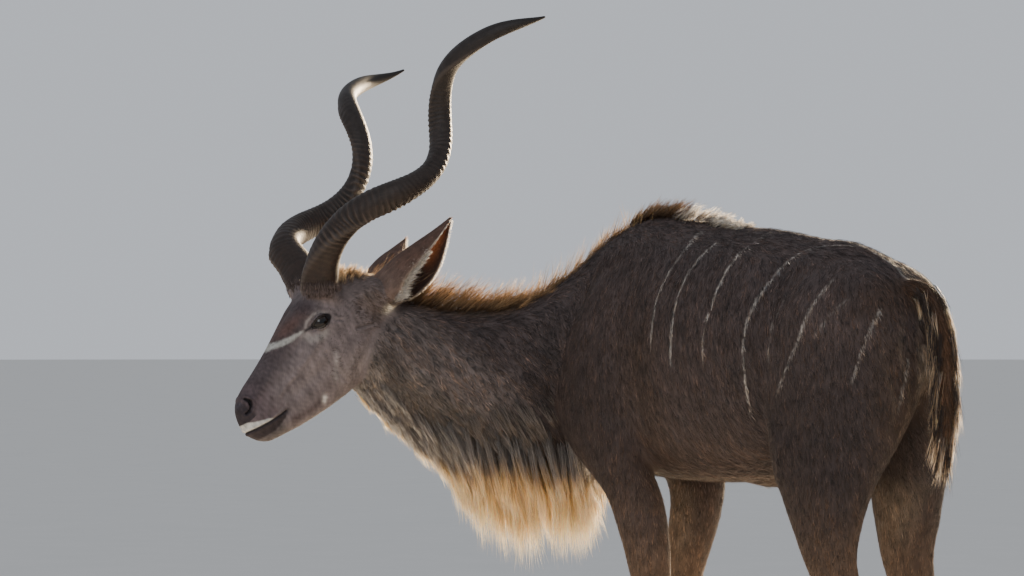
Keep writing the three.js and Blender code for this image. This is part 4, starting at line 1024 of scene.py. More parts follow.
def strands(root, normal, lie, length, width, thick=0.4, lift=0.12, sag=0.0, bend=0.0, rings=2,
            full=0.45):
    """Points and faces of many strands, and the share of its length at each point."""
    n = len(root)
    column = lambda value: np.broadcast_to(np.asarray(value, float), (n,))[:, None, None]
    share = np.linspace(0, 1, rings + 1)
    s = share[None, :, None]
    L = column(length)
    across, normal = unit(np.cross(normal, lie))[:, None], normal[:, None]
    line = root[:, None] + lie[:, None] * s * L + normal * (column(lift) * L * s - ROOT_SUNK)
    line = line - UP * column(sag) * L * s**2 + across * column(bend) * L * s**2
    shape = np.where(share < full, mix(ROOT_WIDE, 1.0, share / full), (1 - share) / (1 - full))
    half = (column(width) * np.maximum(shape, 0.0)[None, :, None] / 2)[:, :-1]
    deep = half * column(thick)
    body = line[:, :-1]
    sides = [body + across * half - normal * deep * 0.5, body + normal * deep,
             body - across * half - normal * deep * 0.5]
    points = np.concatenate([np.stack(sides, 2).reshape(n, rings * 3, 3), line[:, -1:]], 1)
    faces = [face for i in range(0, rings * 3 - 3) for k in [i // 3 * 3 + (i + 1) % 3]
             for face in ((i, k, k + 3), (i, k + 3, i + 3))]
    tip, last = rings * 3, (rings - 1) * 3
    faces += [(last + i, last + (i + 1) % 3, tip) for i in range(3)] + [(0, 2, 1)]
    size = tip + 1
    faces = np.array(faces)[None] + (np.arange(n) * size)[:, None, None]
    along = np.append(np.repeat(share[:-1], 3), 1.0)
    return points.reshape(-1, 3), faces.reshape(-1, 3), np.tile(along, n), size


PATCH = 0.003  # size of a strand's patch on its piece's map


def hair_object(name, material, made, tint, chance, places, slot, tip=None, turning=None):
    """A coat piece: its mesh, colours and the map in which each strand is a small patch."""
    points, faces, along, size = made
    piece = mesh_object(name, points, faces, material)
    tints = np.repeat(tint, size, axis=0)
    if tip is not None:
        share = step(0.05, 0.75, along) if turning is None else turning(points, along)
        tints = mix(tints, np.repeat(tip, size, axis=0), share[:, None])
    put_attributes(piece.data, tint=tints, along=along, chance=np.repeat(chance, size))
    low, high = places.min(0), places.max(0)
    spot = PATCH + (1 - 3 * PATCH) * (places - low) / np.maximum(high - low, 1e-6)
    corner = np.arange(size) % 3 / 2
    patch = np.stack([corner, along[:size]], -1) * PATCH
    uv = (np.repeat(spot, size, axis=0) + np.tile(patch, (len(spot), 1)))[faces.ravel()]
    layer = piece.data.uv_layers.new(name="OFBake")
    layer.data.foreach_set("uv", uv.astype(np.float32).ravel())
    return ready(piece, slot)


LOCK_SHARE, LOCKS_NEAR, LOCK_LONG = 0.05, 6, 3.5  # heads of locks among tufts, and a lock's form


def gathered(root, lie, normal):
    """The lock each tuft belongs to and how far it leans over to that lock's middle."""
    count = len(root)
    across = np.cross(normal, lie)
    heads = np.flatnonzero(seeded("gathered").uniform(0, 1, count) < LOCK_SHARE)
    tree = tree_of(root[heads])
    near = min(LOCKS_NEAR, len(heads))
    found = np.array([[hit[1] for hit in tree.find_n(place, near)] for place in root.tolist()])
    away = root[heads][found] - root[:, None]
    along = (away * lie[:, None]).sum(-1)
    aside = (away * across[:, None]).sum(-1)
    rest = (away**2).sum(-1) - along**2
    best = (rest + (along / LOCK_LONG) ** 2).argmin(1)
    rows = np.arange(count)
    return found[rows, best], aside[rows, best]


# Materials

class Wire:
    """A socket of a node; sums on it add Math nodes."""

    def __init__(self, bench, socket):
        self.bench = bench
        self.socket = socket

    def sum(self, operation, *others):
        return self.bench.node("ShaderNodeMath", {"operation": operation},
                               dict(enumerate((self, *others))))

    def __add__(self, other):
        return self.sum("ADD", other)

    __radd__ = __add__

    def __mul__(self, other):
        return self.sum("MULTIPLY", other)

    __rmul__ = __mul__

    def __sub__(self, other):
        return self.sum("SUBTRACT", other)

    def __rsub__(self, other):
        return self.bench.node("ShaderNodeMath", {"operation": "SUBTRACT"}, {0: other, 1: self})

    def __pow__(self, other):
        return self.sum("POWER", other)

    def step(self, low, high):
        return self.bench.node("ShaderNodeMapRange", {"interpolation_type": "SMOOTHSTEP"},
                               {"Value": self, "From Min": low, "From Max": high})


class Bench:
    """Makes one material from nodes."""

    def __init__(self, name):
        self.material = bpy.data.materials.new(name)
        self.material.use_nodes = True
        self.tree = self.material.node_tree
        self.tree.nodes.clear()

    def node(self, kind, settings=None, sockets=None, out=0):
        made = self.tree.nodes.new(kind)
        for name, value in (settings or {}).items():
            if name == "stops":
                ramp = made.color_ramp
                while len(ramp.elements) < len(value):
                    ramp.elements.new(0.5)
                for element, (place, colour) in zip(ramp.elements, value):
                    element.position = place
                    element.color = (*colour, 1)
            else:
                setattr(made, name, value)
        for name, value in (sockets or {}).items():
            if isinstance(value, Wire):
                self.tree.links.new(value.socket, made.inputs[name])
            else:
                socket = made.inputs[name]
                colour = socket.type == "RGBA"
                socket.default_value = (*value, 1) if colour else value
        return Wire(self, made.outputs[out]) if len(made.outputs) else None

    def attribute(self, name, colour=False):
        return self.node("ShaderNodeAttribute", {"attribute_name": name}, out=0 if colour else 2)

    def places(self):
        return self.node("ShaderNodeTexCoord", out=3)

    def noise(self, places, scale, detail=3.0, roughness=0.5):
        return self.node("ShaderNodeTexNoise", None, {"Vector": places, "Scale": scale,
                                                      "Detail": detail, "Roughness": roughness})

    def stretched(self, places, sizes):
        return self.node("ShaderNodeMapping", None, {"Vector": places, "Scale": sizes})

    def ramp(self, value, *stops):
        return self.node("ShaderNodeValToRGB", {"stops": stops}, {"Fac": value})

    def mixed(self, a, b, share):
        return self.node("ShaderNodeMix", {"data_type": "RGBA", "clamp_factor": True},
                         {0: share, 6: a, 7: b}, out=2)

    def bump(self, height, strength, distance):
        return self.node("ShaderNodeBump", None, {"Height": height, "Strength": strength,
                                                  "Distance": distance})

    def finish(self, **sockets):
        named = {name.replace("_", " "): value for name, value in sockets.items()}
        shader = self.node("ShaderNodeBsdfPrincipled", None, named)
        self.node("ShaderNodeOutputMaterial", None, {"Surface": shader})
        return self.material


def skin_material():
    b = Bench("skin")
    tint = b.attribute("tint", colour=True)
    grain = b.noise(b.stretched(b.places(), (1, 1, 0.22)), 420, 3)
    colour = b.mixed(tint, (0.01, 0.008, 0.007), grain.step(0.62, 0.3) * 0.16)
    bump = b.bump(grain, 0.45, 0.0012)
    return b.finish(Base_Color=colour, Roughness=0.75, Normal=bump, Specular_IOR_Level=0.2)


def coat_material(name, root, tip, rough=0.6, glow=0.0):
    """Fur that is darker at the root than at the tip; glow lets light from behind through."""
    b = Bench(name)
    tint = b.attribute("tint", colour=True)
    along = b.attribute("along")
    chance = b.attribute("chance")
    shade = (along * (tip - root) + root) * (chance * 0.6 + 0.7)
    colour = b.node("ShaderNodeVectorMath", {"operation": "SCALE"}, {0: tint, "Scale": shade})
    settings = {"Base_Color": colour, "Roughness": rough, "Specular_IOR_Level": 0.3}
    if glow:
        settings.update(Subsurface_Weight=glow, Subsurface_Scale=0.003, Subsurface_Radius=(1, 1, 1))
    return b.finish(**settings)


def horn_material():
    b = Bench("horn")
    places = b.places()
    v = b.attribute("along")
    keel = b.attribute("keel")
    relief = b.attribute("relief")
    grain = b.noise(places, 60, 5)
    fine = b.noise(places, 500, 3)
    fibres = b.noise(b.node("ShaderNodeCombineXYZ", None, {0: v * 9, 1: keel * 14}), 4, 3)
    colour = b.ramp(v, (0.0, (0.022, 0.011, 0.007)), (0.3, (0.02, 0.012, 0.009)),
                    (0.62, (0.02, 0.014, 0.012)), (1.0, (0.01, 0.008, 0.008)))
    # painted shade in the grooves between the ridges
    colour = b.mixed(colour, (0.006, 0.004, 0.003), relief.step(0.1, -1.2) * 0.8)
    # painted highlight on the crests of the ridges
    colour = b.mixed(colour, (0.105, 0.075, 0.058), relief.step(0.2, 1.4) * 0.45)
    colour = b.mixed(colour, (0.009, 0.006, 0.005), grain.step(0.42, 0.68) * 0.6)
    colour = b.mixed(colour, (0.065, 0.042, 0.029), fibres.step(0.52, 0.72) * 0.4)
    colour = b.mixed(colour, (0.085, 0.066, 0.055), keel.step(0.32, 0.05) * 0.35)
    rough = grain * 0.25 + 0.42
    bump = b.bump(fine + fibres * 0.8, 0.45, 0.0009)
    return b.finish(Base_Color=colour, Roughness=rough, Normal=bump, Specular_IOR_Level=0.3)


def hoof_material():
    b = Bench("hoof")
    rings = b.noise(b.stretched(b.places(), (0.3, 0.3, 3.5)), 90, 4)
    colour = b.ramp(rings, (0.3, (0.018, 0.014, 0.012)), (0.7, (0.055, 0.043, 0.036)))
    bump = b.bump(rings, 0.5, 0.001)
    return b.finish(Base_Color=colour, Roughness=rings * 0.3 + 0.3, Normal=bump)


def eye_material():
    b = Bench("eye")
    along = b.attribute("along")
    across = b.attribute("across")
    away = (along * along + across * across) ** 0.5
    fibres = b.noise(b.places(), 900, 3)
    colour = b.mixed((0.008, 0.005, 0.004), (0.018, 0.01, 0.006), fibres)
    colour = b.mixed(colour, (0.004, 0.003, 0.003), away.step(11.5, 14.5))
    slot = ((along * along) * 0.012 + (across * across) * 0.045)
    colour = b.mixed(colour, (0.002, 0.002, 0.003), slot.step(1.15, 0.8))
    return b.finish(Base_Color=colour, Roughness=0.05, Specular_IOR_Level=0.35)


def lid_material():
    b = Bench("lid")
    grain = b.noise(b.places(), 900, 3)
    colour = b.mixed((0.012, 0.009, 0.008), (0.03, 0.022, 0.018), grain)
    return b.finish(Base_Color=colour, Roughness=0.4, Normal=b.bump(grain, 0.4, 0.0005))


def floor_material():
    b = Bench("floor")
    grain = b.noise(b.places(), 3, 3)
    colour = b.mixed((0.62, 0.61, 0.59), (0.67, 0.66, 0.64), grain)
    return b.finish(Base_Color=colour, Roughness=0.85)


# Markings, shared by the skin and the coat

STRIPES = [  # strength, and places along the trunk, out from its middle and up
    (1.0, [(-160, 60, 1330), (-146, 120, 1284), (-158, 167, 1211), (-157, 197, 1134),
           (-151, 207, 1072)]),
    (1.0, [(-55, 93, 1305), (-69, 136, 1266), (-77, 179, 1200), (-74, 204, 1134),
           (-69, 213, 1036)]),
    (1.0, [(45, 20, 1332), (66, 83, 1305), (58, 125, 1278), (57, 172, 1222), (54, 202, 1158),
           (47, 214, 1104), (48, 217, 1045)]),
    (1.0, [(330, 8, 1300), (290, 36, 1301), (249, 55, 1296), (214, 84, 1282), (197, 124, 1250),
           (190, 166, 1198), (180, 194, 1142), (178, 206, 1086), (179, 205, 1010),
           (173, 184, 920)]),
    (0.75, [(388, 125, 1219), (361, 168, 1150), (341, 184, 1090), (315, 192, 1044),
            (270, 198, 970)]),
    (0.4, [(438, 128, 1179), (414, 148, 1149), (376, 170, 1096)]),
    (0.45, [(262, 170, 1200), (250, 190, 1120), (246, 198, 1040)]),
    (0.9, [(500, 88, 1152), (487, 110, 1103), (476, 124, 1058), (460, 136, 998)]),
    (0.8, [(548, 52, 1050), (545, 60, 1000), (536, 70, 945)]),
]
STRIPE_WIDTH, STRIPE_REACH = 3.1, 34  # and how deep under a stripe's line the skin may lie
RIGHT_SHIFT = 9.0  # most that a stripe of the right side is moved along the trunk
FACE_BAR = [(38, 5), (52, 8.5), (73, 13.5), (91, 21), (105, 29), (118, 33), (124, 40)]


def smooth_line(points, finer_by=8):
    return Path(points)(np.linspace(0, 1, (len(points) - 1) * finer_by + 1))


def stripe_share(points, normals):
    """How strongly each point lies on a thin stripe of the flank."""
    x, y, z = points.T
    flip = np.where(y < 0, -1.0, 1.0)[:, None] * np.array([0, 1.0, 0]) + np.array([1.0, 0, 1.0])
    folded, out = points * flip, normals * flip
    share = np.zeros(len(points))
    ragged = 0.8 * np.sin(x * 0.9 + z * 0.35) * np.sin(z * 0.21 + x * 0.13)
    for k, (strength, line) in enumerate(STRIPES):
        line = smooth_line(line)
        shifted = folded.copy()
        shifted[:, 0] -= np.where(y > 0, RIGHT_SHIFT * math.sin(k * 2.1), 0.0)
        low, high = line.min(0), line.max(0)
        near = np.abs(shifted[:, 0] - (low[0] + high[0]) / 2) < (high[0] - low[0]) / 2 + 30
        near &= (z > low[2] - 20) & (z < high[2] + 20)
        p, n, up = shifted[near], out[near], z[near]
        best = np.full(len(p), 1e9)
        for q, r in zip(line[:-1], line[1:]):
            along = np.clip(((p - q) @ (r - q)) / ((r - q) ** 2).sum(), 0, 1)
            away = p - q - along[:, None] * (r - q)
            height = (away * n).sum(-1)
            flat = (away**2).sum(-1) - height**2
            best = np.minimum(best, np.where(np.abs(height) < STRIPE_REACH, flat, 1e9))
        broken = 0.88 + 0.12 * np.sin(up / 17 + k * 2) * np.sin(up / 7.3 + k)
        ends = step(0, 40, up - low[2] + 15)
        width = STRIPE_WIDTH * (0.75 + 0.25 * np.sin(up / 29 + k * 1.7))
        fade = 0.72 if k > 4 else 1.0
        edge = 1 - step(width * 0.4, width * 1.35, np.sqrt(best) + ragged[near])
        share[near] = np.maximum(share[near], fade * strength * broken * ends * edge)
    spine = (1 - step(1.5, 5.0, np.abs(y))) * (z > 1180)
    return np.maximum(share, 0.7 * spine * step(-150, -90, x) * (1 - step(500, 530, x)))


def blotches(points, size, seed):
    """Soft random blotches of about a size, as a value spread round 0."""
    rng = np.random.default_rng(seed)
    waves = unit(rng.normal(0, 1, (10, 3))) * rng.uniform(0.6, 1.6, (10, 1)) * 2 * np.pi / size
    return np.cos(points @ waves.T + rng.uniform(0, 2 * np.pi, 10)).sum(1) / 5**0.5


def colours_at(points, normals, zones, ears, sizes):
    """The colour of the coat at points; zones are the shares of neck, head, tail and ear."""
    x, y, z = points.T
    neck_zone, face_zone, tail_zone, ear_zone = zones.T
    body = np.array(sizes.body_colour)
    colour = np.tile(body, (len(points), 1))
    side = np.abs(y)

    def paint(shade, share):
        nonlocal colour
        colour = mix(colour, np.array(shade), np.clip(share, 0, 1)[:, None])

    patches = np.sin(x / 61 + z / 47) * np.sin(z / 83 - x / 97 + y / 71)
    paint(body * 0.72, 0.35 * step(-0.2, 0.9, patches))
    paint(body * 1.3, 0.35 * step(0.0, 0.9, np.sin(x / 39 + 1) * np.sin(z / 57 + x / 110)))
    paint(body * 1.25, 0.5 * (1 - step(20, 110, side)) * (z > 1150) * (x > -480))
    brown = np.array((0.068, 0.043, 0.031))
    belly = (x > -600) * (x < 420) * (side < 230) * (z > 700)
    paint(brown, 0.6 * (1 - step(790, 900, z)) * belly)
    paint(brown * 0.8, 0.5 * bell(x + 200, 70) * step(1180, 1080, z) * (z > 760))
    paint(sizes.neck_colour, neck_zone)
    behind = step(-235, -140, head_places(points)[0])
    paint((0.125, 0.1, 0.092), 0.75 * behind * np.maximum(neck_zone, face_zone))
    low_neck = [(-780, -500, 985), (-752, -454, 958), (-713, -371, 890), (-668, -291, 844),
                (-618, -216, 812), (-560, -150, 800)]
    paint((0.19, 0.155, 0.125), 0.75 * ridge_weight(points, low_neck, 56) * (x < -500))
    nape = step(0.72, 0.95, normals[:, 2]) * neck_zone * step(0.9, 0.5, face_zone)
    paint((0.1, 0.066, 0.042), 0.7 * nape)
    # painted shade along the folds of neck, shoulder, girth and flank
    for line, size, strength in FOLD_SHADOWS:
        paint((0.022, 0.017, 0.016), strength * ridge_weight(points, line, size))
    # painted shade: the lower trunk behind its middle and the upper arm made darker, as in shade
    shaded_upper_arm = step(-230, -360, x) * step(-620, -540, x)
    paint(body * 0.58, 0.8 * step(1160, 900, z) * (step(60, 240, x) + shaded_upper_arm))
    paint(sizes.leg_colour, (1 - step(470, 800, z)) * (1 - tail_zone))
    for name, (kind, sign, _, _) in STANCE.items():
        ahead = LIMB_ROWS[kind](z)["dx"] + limb_drift(name, z) - x
        mine = (sign * y > 0) * (np.abs(ahead) < 110) * (z < 640)
        knee = bell(z - 430, 60) if kind == "fore" else bell(z - 470, 70)
        paint((0.05, 0.03, 0.019), mine * step(0, 26, ahead) * (0.25 + 0.5 * knee) * (z > 150))
        paint((0.22, 0.155, 0.1), mine * step(8, 30, -ahead) * 0.4 * step(500, 300, z))
        paint((0.035, 0.025, 0.02), mine * step(140, 110, z) * step(0, 20, -ahead) * 0.6)
        paint((0.3, 0.24, 0.17), mine * bell(z - 88, 16) * step(-5, 15, ahead) * 0.7)
    paint((0.26, 0.2, 0.14), 0.6 * step(100, 40, side) * step(820, 700, z) * (z > 480))
    rear = step(470, 540, x) * (z > 640) * (1 - tail_zone)
    paint((0.045, 0.029, 0.021), 0.75 * rear * step(1140, 1060, z))
    streak = step(0.35, 0.9, np.sin(y / 5.0 + np.sin(z / 40) * 2)) * step(500, 545, x)
    paint((0.2, 0.15, 0.1), 0.12 * streak * (z > 760) * (1 - tail_zone))
    paint((0.042, 0.025, 0.017), 0.75 * step(420, 500, x) * step(1110, 1170, z))
    under_tail = step(534, 566, x) * step(40, 18, side) * (z > 860) * (z < 1080)
    paint((0.3, 0.24, 0.18), 0.5 * under_tail * (1 - tail_zone))
    paint((0.06, 0.033, 0.02), 0.95 * tail_zone)
    dock = step(480, 540, x) * step(1130, 1180, z) * (1 - step(3, 6, side))
    paint((0.06, 0.037, 0.026), 0.8 * dock)
    face_colours(points, face_zone, paint, sizes)
    ear_colours(ears, ear_zone, paint)
    stripes = stripe_share(points, normals)
    paint(sizes.stripe_colour, stripes * (1 - neck_zone) * (1 - face_zone))
    fine = mix(18, 11, face_zone)[:, None]
    uneven = 0.1 * blotches(points / fine, 1, 1) + 0.08 * blotches(points, 44, 2)
    return colour * np.clip(1 + uneven, 0.6, 1.5)[:, None]


FOLD_SHADOWS = [  # painted shade in the folds: line, width, strength
    ([(-550, -185, 1110), (-542, -196, 1037), (-541, -199, 970), (-550, -187, 897),
      (-553, -151, 845), (-521, -122, 804)], 13, 0.75),
    ([(-560, 150, 1110), (-556, 160, 1037), (-552, 160, 970), (-545, 150, 897),
      (-530, 130, 830)], 14, 0.5),
    ([(-754, -486, 1047), (-745, -459, 981), (-746, -414, 908)], 22, 0.45),
    ([(-451, -114, 1241), (-471, -142, 1173), (-452, -184, 1083), (-440, -201, 994)], 16, 0.3),
    ([(-195, -197, 1107), (-197, -195, 997), (-200, -165, 886)], 24, 0.35),
    ([(295, -187, 812), (275, -192, 875), (244, -195, 960)], 22, 0.35),
]


def ear_colours(ears, share, paint):
    """Dark and orange inside, in painted shade with a painted glow of light through the ear; dark
    brown outside, in part painted shade; white along the front edge; pale rims, painted as lit from
    behind.

    ears says how far along, how near the front edge and whether inside each place is."""
    v, front, inside = ears.T
    # the ear's own grey-brown, darkened in part as painted shade
    paint((0.088, 0.05, 0.037), share * 0.9)
    paint((0.15, 0.108, 0.09), share * (1 - inside) * 0.6 * step(0.45, 0.1, v))
    # painted shade inside the cup
    paint((0.045, 0.026, 0.02), share * inside * 0.92)
    # painted glow where light from behind shines through the ear
    painted_glow = step(0.08, 0.3, front) * step(0.42, 0.6, v)
    paint((0.36, 0.125, 0.05), share * inside * painted_glow * 0.9)
    paint((0.62, 0.55, 0.46), share * inside * step(0.72, 0.86, front) * step(0.66, 0.45, v))
    # painted light: pale rims, as lit from behind
    lit_rims = np.maximum(step(0.965, 0.99, front), step(0.035, 0.01, front))
    paint((0.45, 0.34, 0.25), share * 0.85 * lit_rims)


def face_colours(points, face_zone, paint, sizes):
    """Marks of the face, then the dark rim of the eyes and the pale foot of the ears."""
    t, left, h = head_places(points)
    side = np.abs(left)
    on = np.clip(face_zone * 1.6, 0, 1)
    cheek, lower = on * (side > 30), on * (side > 22)
    near = lambda line, size: bell(line_distance(t, h, line), size)
    spot = lambda a, b, long, high: bell(np.hypot((t - a) / long, (h - b) / high), 1.0)
    paint(sizes.face_colour, on)
    paint((0.105, 0.08, 0.072), on * 0.7 * step(-50, -120, t))
    top = h - np.interp(t, [-60, 20, 130, 180, 226, 262], [26, 18, 3, -6, -14, -22])
    top = step(0, 1, (top + mix(8, 44, step(40, 90, t))) / mix(22, 50, step(40, 90, t)))
    paint((0.052, 0.039, 0.041), on * 0.92 * top * step(-50, 0, t))
    paint((0.105, 0.056, 0.046), on * 0.75 * spot(54, 32, 42, 14))
    paint((0.038, 0.027, 0.028), on * 0.65 * near([(22, 24), (34, 16), (46, 14)], 8) * (side > 25))
    paint((0.082, 0.057, 0.062), on * 0.6 * step(165, 225, t) * (h > -78))
    paint((0.21, 0.175, 0.165), on * 0.6 * spot(0, -140, 50, 26))
    paint((0.19, 0.155, 0.15), on * 0.5 * spot(85, -70, 60, 30))
    below_eye = [(42, -6), (40, -20), (24, -31), (6, -33)]
    above_eye = [(-27, -4), (-16, 8), (0, 17), (20, 15), (30, 8)]
    paint((0.25, 0.225, 0.21), cheek * 0.75 * near(below_eye, 9))
    paint((0.24, 0.215, 0.205), cheek * 0.8 * near(above_eye, 3.0))
    paint((0.01, 0.008, 0.009), cheek * 0.95 * near([(14, -2), (26, 0), (35, 2)], 3.6))
    bar = line_distance(t, h, FACE_BAR)
    width = np.interp(t, [36, 48, 75, 100, 122], [0.4, 3.0, 6.4, 7.2, 6.2])
    bar = bar + 1.3 * np.sin(t * 1.1 + h * 0.7) * np.sin(h * 1.3 - t * 0.5)
    paint((0.34, 0.33, 0.305), on * 0.95 * (1 - step(width - 3.8, width + 2.8, bar)))
    paint((0.3, 0.27, 0.26), lower * 0.6 * near([(22, -85), (34, -100)], 6.5))
    paint((0.3, 0.27, 0.26), lower * 0.55 * near([(46, -113), (56, -126)], 8.0))
    paint((0.52, 0.49, 0.46), on * near([(104, -139), (110, -143)], 6.0))
    # painted shade in the wrinkle behind the eye
    wrinkle_shade = near([(-54, -81), (-72, -91), (-94, -105)], 2.0)
    paint((0.02, 0.016, 0.017), on * (side > 25) * 0.6 * wrinkle_shade)
    # painted shade in the fold up from the corner of the mouth
    paint((0.05, 0.037, 0.039), on * 0.35 * near(CHEEK_FOLD, 4.5))
    mouth = line_distance(t, h, MOUTH_LINE)
    above = h > np.interp(t, [190, 220, 252, 283, 296], [-92, -84.5, -74.5, -63, -60])
    lip = np.interp(t, [222, 236, 262, 276], [1.0, 8, 15, 21])
    paint((0.47, 0.46, 0.43), on * above * (1 - step(lip - 3, lip + 2, mouth)) * step(220, 232, t))
    paint((0.072, 0.062, 0.062), on * (1 - above) * step(196, 226, t) * (h < -70) * 0.9)
    dark_lip = step(3, -3, mouth - np.interp(t, [196, 215, 240, 275], [8, 16, 24, 26]))
    paint((0.022, 0.016, 0.018), on * (1 - above) * 0.9 * dark_lip * step(190, 204, t))
    paint((0.03, 0.022, 0.025), on * 0.9 * bell(np.hypot((t - 193) / 1.3, h + 92), 7.5))
    jaw_shade = near([(190, -118), (176, -127), (147, -134), (119, -138)], 9)
    paint((0.055, 0.038, 0.039), on * 0.7 * jaw_shade)
    paint((0.01, 0.008, 0.008), on * 0.95 * bell(mouth, 1.9) * step(183, 196, t))
    pad = step(244, 256, t) * (h > -46) * step(6, -4, h) * step(40, 32, side)
    paint((0.02, 0.016, 0.019), on * 0.85 * pad * (mouth > lip))
    nostril = line_distance(t, h, NOSTRIL_LINE)
    # painted highlight: the top of the wet nose pad lighter and bluish, as lit from above
    paint((0.07, 0.062, 0.078), on * 0.5 * pad * bell(h + 4, 6))
    wide = 0.5 + 2.6 * bell(t - 237, 9) * bell(h + 17, 11)
    paint((0.005, 0.004, 0.005), on * (side > 12) * (1 - step(wide, wide + 3.2, nostril)))
    for sign in SIDES.values():
        ear_foot_line = [on_head(-142, sign * 60, -102), on_head(-158, sign * 56, -106)]
        paint((0.95, 0.86, 0.7), 1.5 * ridge_weight(points, ear_foot_line, 11))
        _, _, reach, along, across, out = eye_places(points, sign)
        rim = (reach < 36) & (out > 0.15)
        paint((0.01, 0.008, 0.009), rim * step(1.34, 1.2, opening_share(along, across)))


class KuduSizes(bpy.types.PropertyGroup):
    """Sizes and colours of the animal that may be changed."""
    voxel: bpy.props.FloatProperty(
        name="Net size", description="Size of the faces of the skin", default=0.006, min=0.003,
        max=0.02, unit="LENGTH")
    # The trunk, neck and leg colours are darker than the animal's own coat: in part painted shade.
    body_colour: bpy.props.FloatVectorProperty(
        name="Body", description="Colour of the coat on the trunk", default=(0.053, 0.038, 0.035),
        subtype="COLOR", min=0, max=1)
    neck_colour: bpy.props.FloatVectorProperty(
        name="Neck", description="Colour of the coat on the neck", default=(0.057, 0.043, 0.041),
        subtype="COLOR", min=0, max=1)
    face_colour: bpy.props.FloatVectorProperty(
        name="Face", description="Colour of the coat on the head", default=(0.137, 0.111, 0.111),
        subtype="COLOR", min=0, max=1)
    leg_colour: bpy.props.FloatVectorProperty(
        name="Legs", description="Colour of the coat on the legs", default=(0.105, 0.064, 0.039),
        subtype="COLOR", min=0, max=1)
    stripe_colour: bpy.props.FloatVectorProperty(
        name="Stripes", description="Colour of the thin stripes of the flank",
        default=(0.34, 0.305, 0.27), subtype="COLOR", min=0, max=1)
    tufts: bpy.props.IntProperty(
        name="Tufts", description="Tufts of short fur over the whole body", default=236000,
        min=1000, max=320000)


SKIN = {}  # what the coat is grown from, kept by the skin's operator


def eased(mesh):
    """Points of a mesh with the joins between forms eased, most at shoulders, haunches and neck."""
    points = points_of(mesh)
    x, y, z = points.T
    body = step(700, 800, z) * step(-700, -640, x)
    neck_base = bell(np.hypot(x + 560, y * 0.8), 170) * (z > 700)
    share = 0.12 + 0.45 * np.maximum(body, neck_base)
    share = np.where(head_zone(points)[3], 0.1, share)
    return spread_out(points, edges_of(mesh), np.clip(share, 0, 0.55), 26)


def near_eyes(points, most_reach, most_share=np.inf):
    """Whether points lie at an eye, and within a share of the opening of its lids."""
    near = np.zeros(len(points), bool)
    for sign in SIDES.values():
        _, _, reach, along, across, out = eye_places(points, sign)
        near |= (reach < most_reach) & (out > 0.1) & (opening_share(along, across) < most_share)
    return near


def with_ears(points, faces, guide):
    """Adds the shells of the ears to the skin, with their guides."""
    for name in EAR_POSE:
        rings = ear_shell(name)
        count, sides, _ = rings.shape
        ear_points, ear_faces = capped(rings)
        along = np.append(np.repeat(np.linspace(0, 1, count), sides), [0, 1])
        turn = np.append(np.tile(np.arange(sides) / sides, count), [0, 0])
        rest = [FORM_CODES.index(name), *ear_frame(name)[1], 9, 1.7]
        code, *hair = np.broadcast_to(rest, (len(ear_points), len(rest))).T
        row = np.column_stack([ear_points, code, along, turn, *hair])
        faces = np.concatenate([faces, ear_faces + len(points)])
        points, guide = np.concatenate([points, ear_points]), np.concatenate([guide, row])
    return points, faces, guide


def build_skin(sizes):
    nets = form_nets()
    parts = [capped(rings) for rings, _, _ in nets.values()]
    for place, size in (SHEATH, SCROTUM):
        parts.append(ball(place, np.array(size) - 4))
    for kind, sign, _, foot in STANCE.values():
        size = LIMB_ROWS[kind](125)
        for apart in (-15, 15):
            parts.append(ball((foot + size["dx"] + 30, sign * size["y"] + apart, 108), DEWCLAW))
    parts += [capped(horn_foot(side)) for side in SIDES]
    parts += [made for name in EAR_POSE for made in (capped(ear_foot(name)), ear_mound(name))]
    mesh = remeshed(*joined_parts(parts), sizes.voxel)
    points = eased(mesh)
    set_points(mesh, points)
    finer(mesh, head_zone(points)[3])
    points = points_of(mesh)
    t, _, _, head = head_zone(points)
    finer(mesh, near_eyes(points, 50) | (head & (t > 178)))
    points = points_of(mesh)
    points = spread_out(points, edges_of(mesh), head_zone(points)[3] * 0.4, 5)
    set_points(mesh, points)
    guide = read_guides(points, form_guides(nets))
    points = shape_body(points, normals_of(mesh), guide[:, 3].astype(int))
    set_points(mesh, points)
    points = shape_head(points, normals_of(mesh))
    set_points(mesh, points)
    points = shape_lids(shape_muzzle(points, normals_of(mesh)))
    set_points(mesh, points)
    mesh.calc_loop_triangles()
    faces = read(mesh.loop_triangles, "vertices", 3, np.int32)
    bpy.data.meshes.remove(mesh)
    points, faces, guide = with_ears(points, faces, guide)
    skin = mesh_object("skin", points, faces, skin_material())
    edges, normals = edges_of(skin.data), normals_of(skin.data)
    lie = unit(spread_out(guide[:, 6:9], edges, 0.5, 14))
    hair = spread_out(guide[:, 9:11], edges, 0.5, 14)
    form = guide[:, 3].astype(int)
    on_ear = form >= FIRST_EAR
    zones = np.stack([form == NECK_CODE, form == SKULL_CODE, form == TAIL_CODE, on_ear], -1)
    zones = spread_out(zones, edges, 0.5, 16)
    zones[:, 3] = on_ear
    ears = ear_shares(form, guide[:, 4:6])
    put_attributes(skin.data, tint=colours_at(points, normals, zones, ears, sizes))
    SKIN.update(points=points, faces=faces, form=form, lie=lie, hair=hair, zones=zones,
                normals=normals, ears=ears, unwrap=guide[:, 4:6])
    ready(skin, "body_coat", "torso", "neck_upper", "neck_lower", "head", "tail", "ear_left",
          "ear_right", "foreleg_left", "foreleg_right", "hindleg_left", "hindleg_right", "crest")


class KUDU_OT_skin(bpy.types.Operator):
    """One skin over trunk, neck, head, ears, tail and legs"""
    bl_idname = "kudu.skin"
    bl_label = "Skin"

    def execute(self, context):
        build_skin(context.scene.kudu)
        return {"FINISHED"}


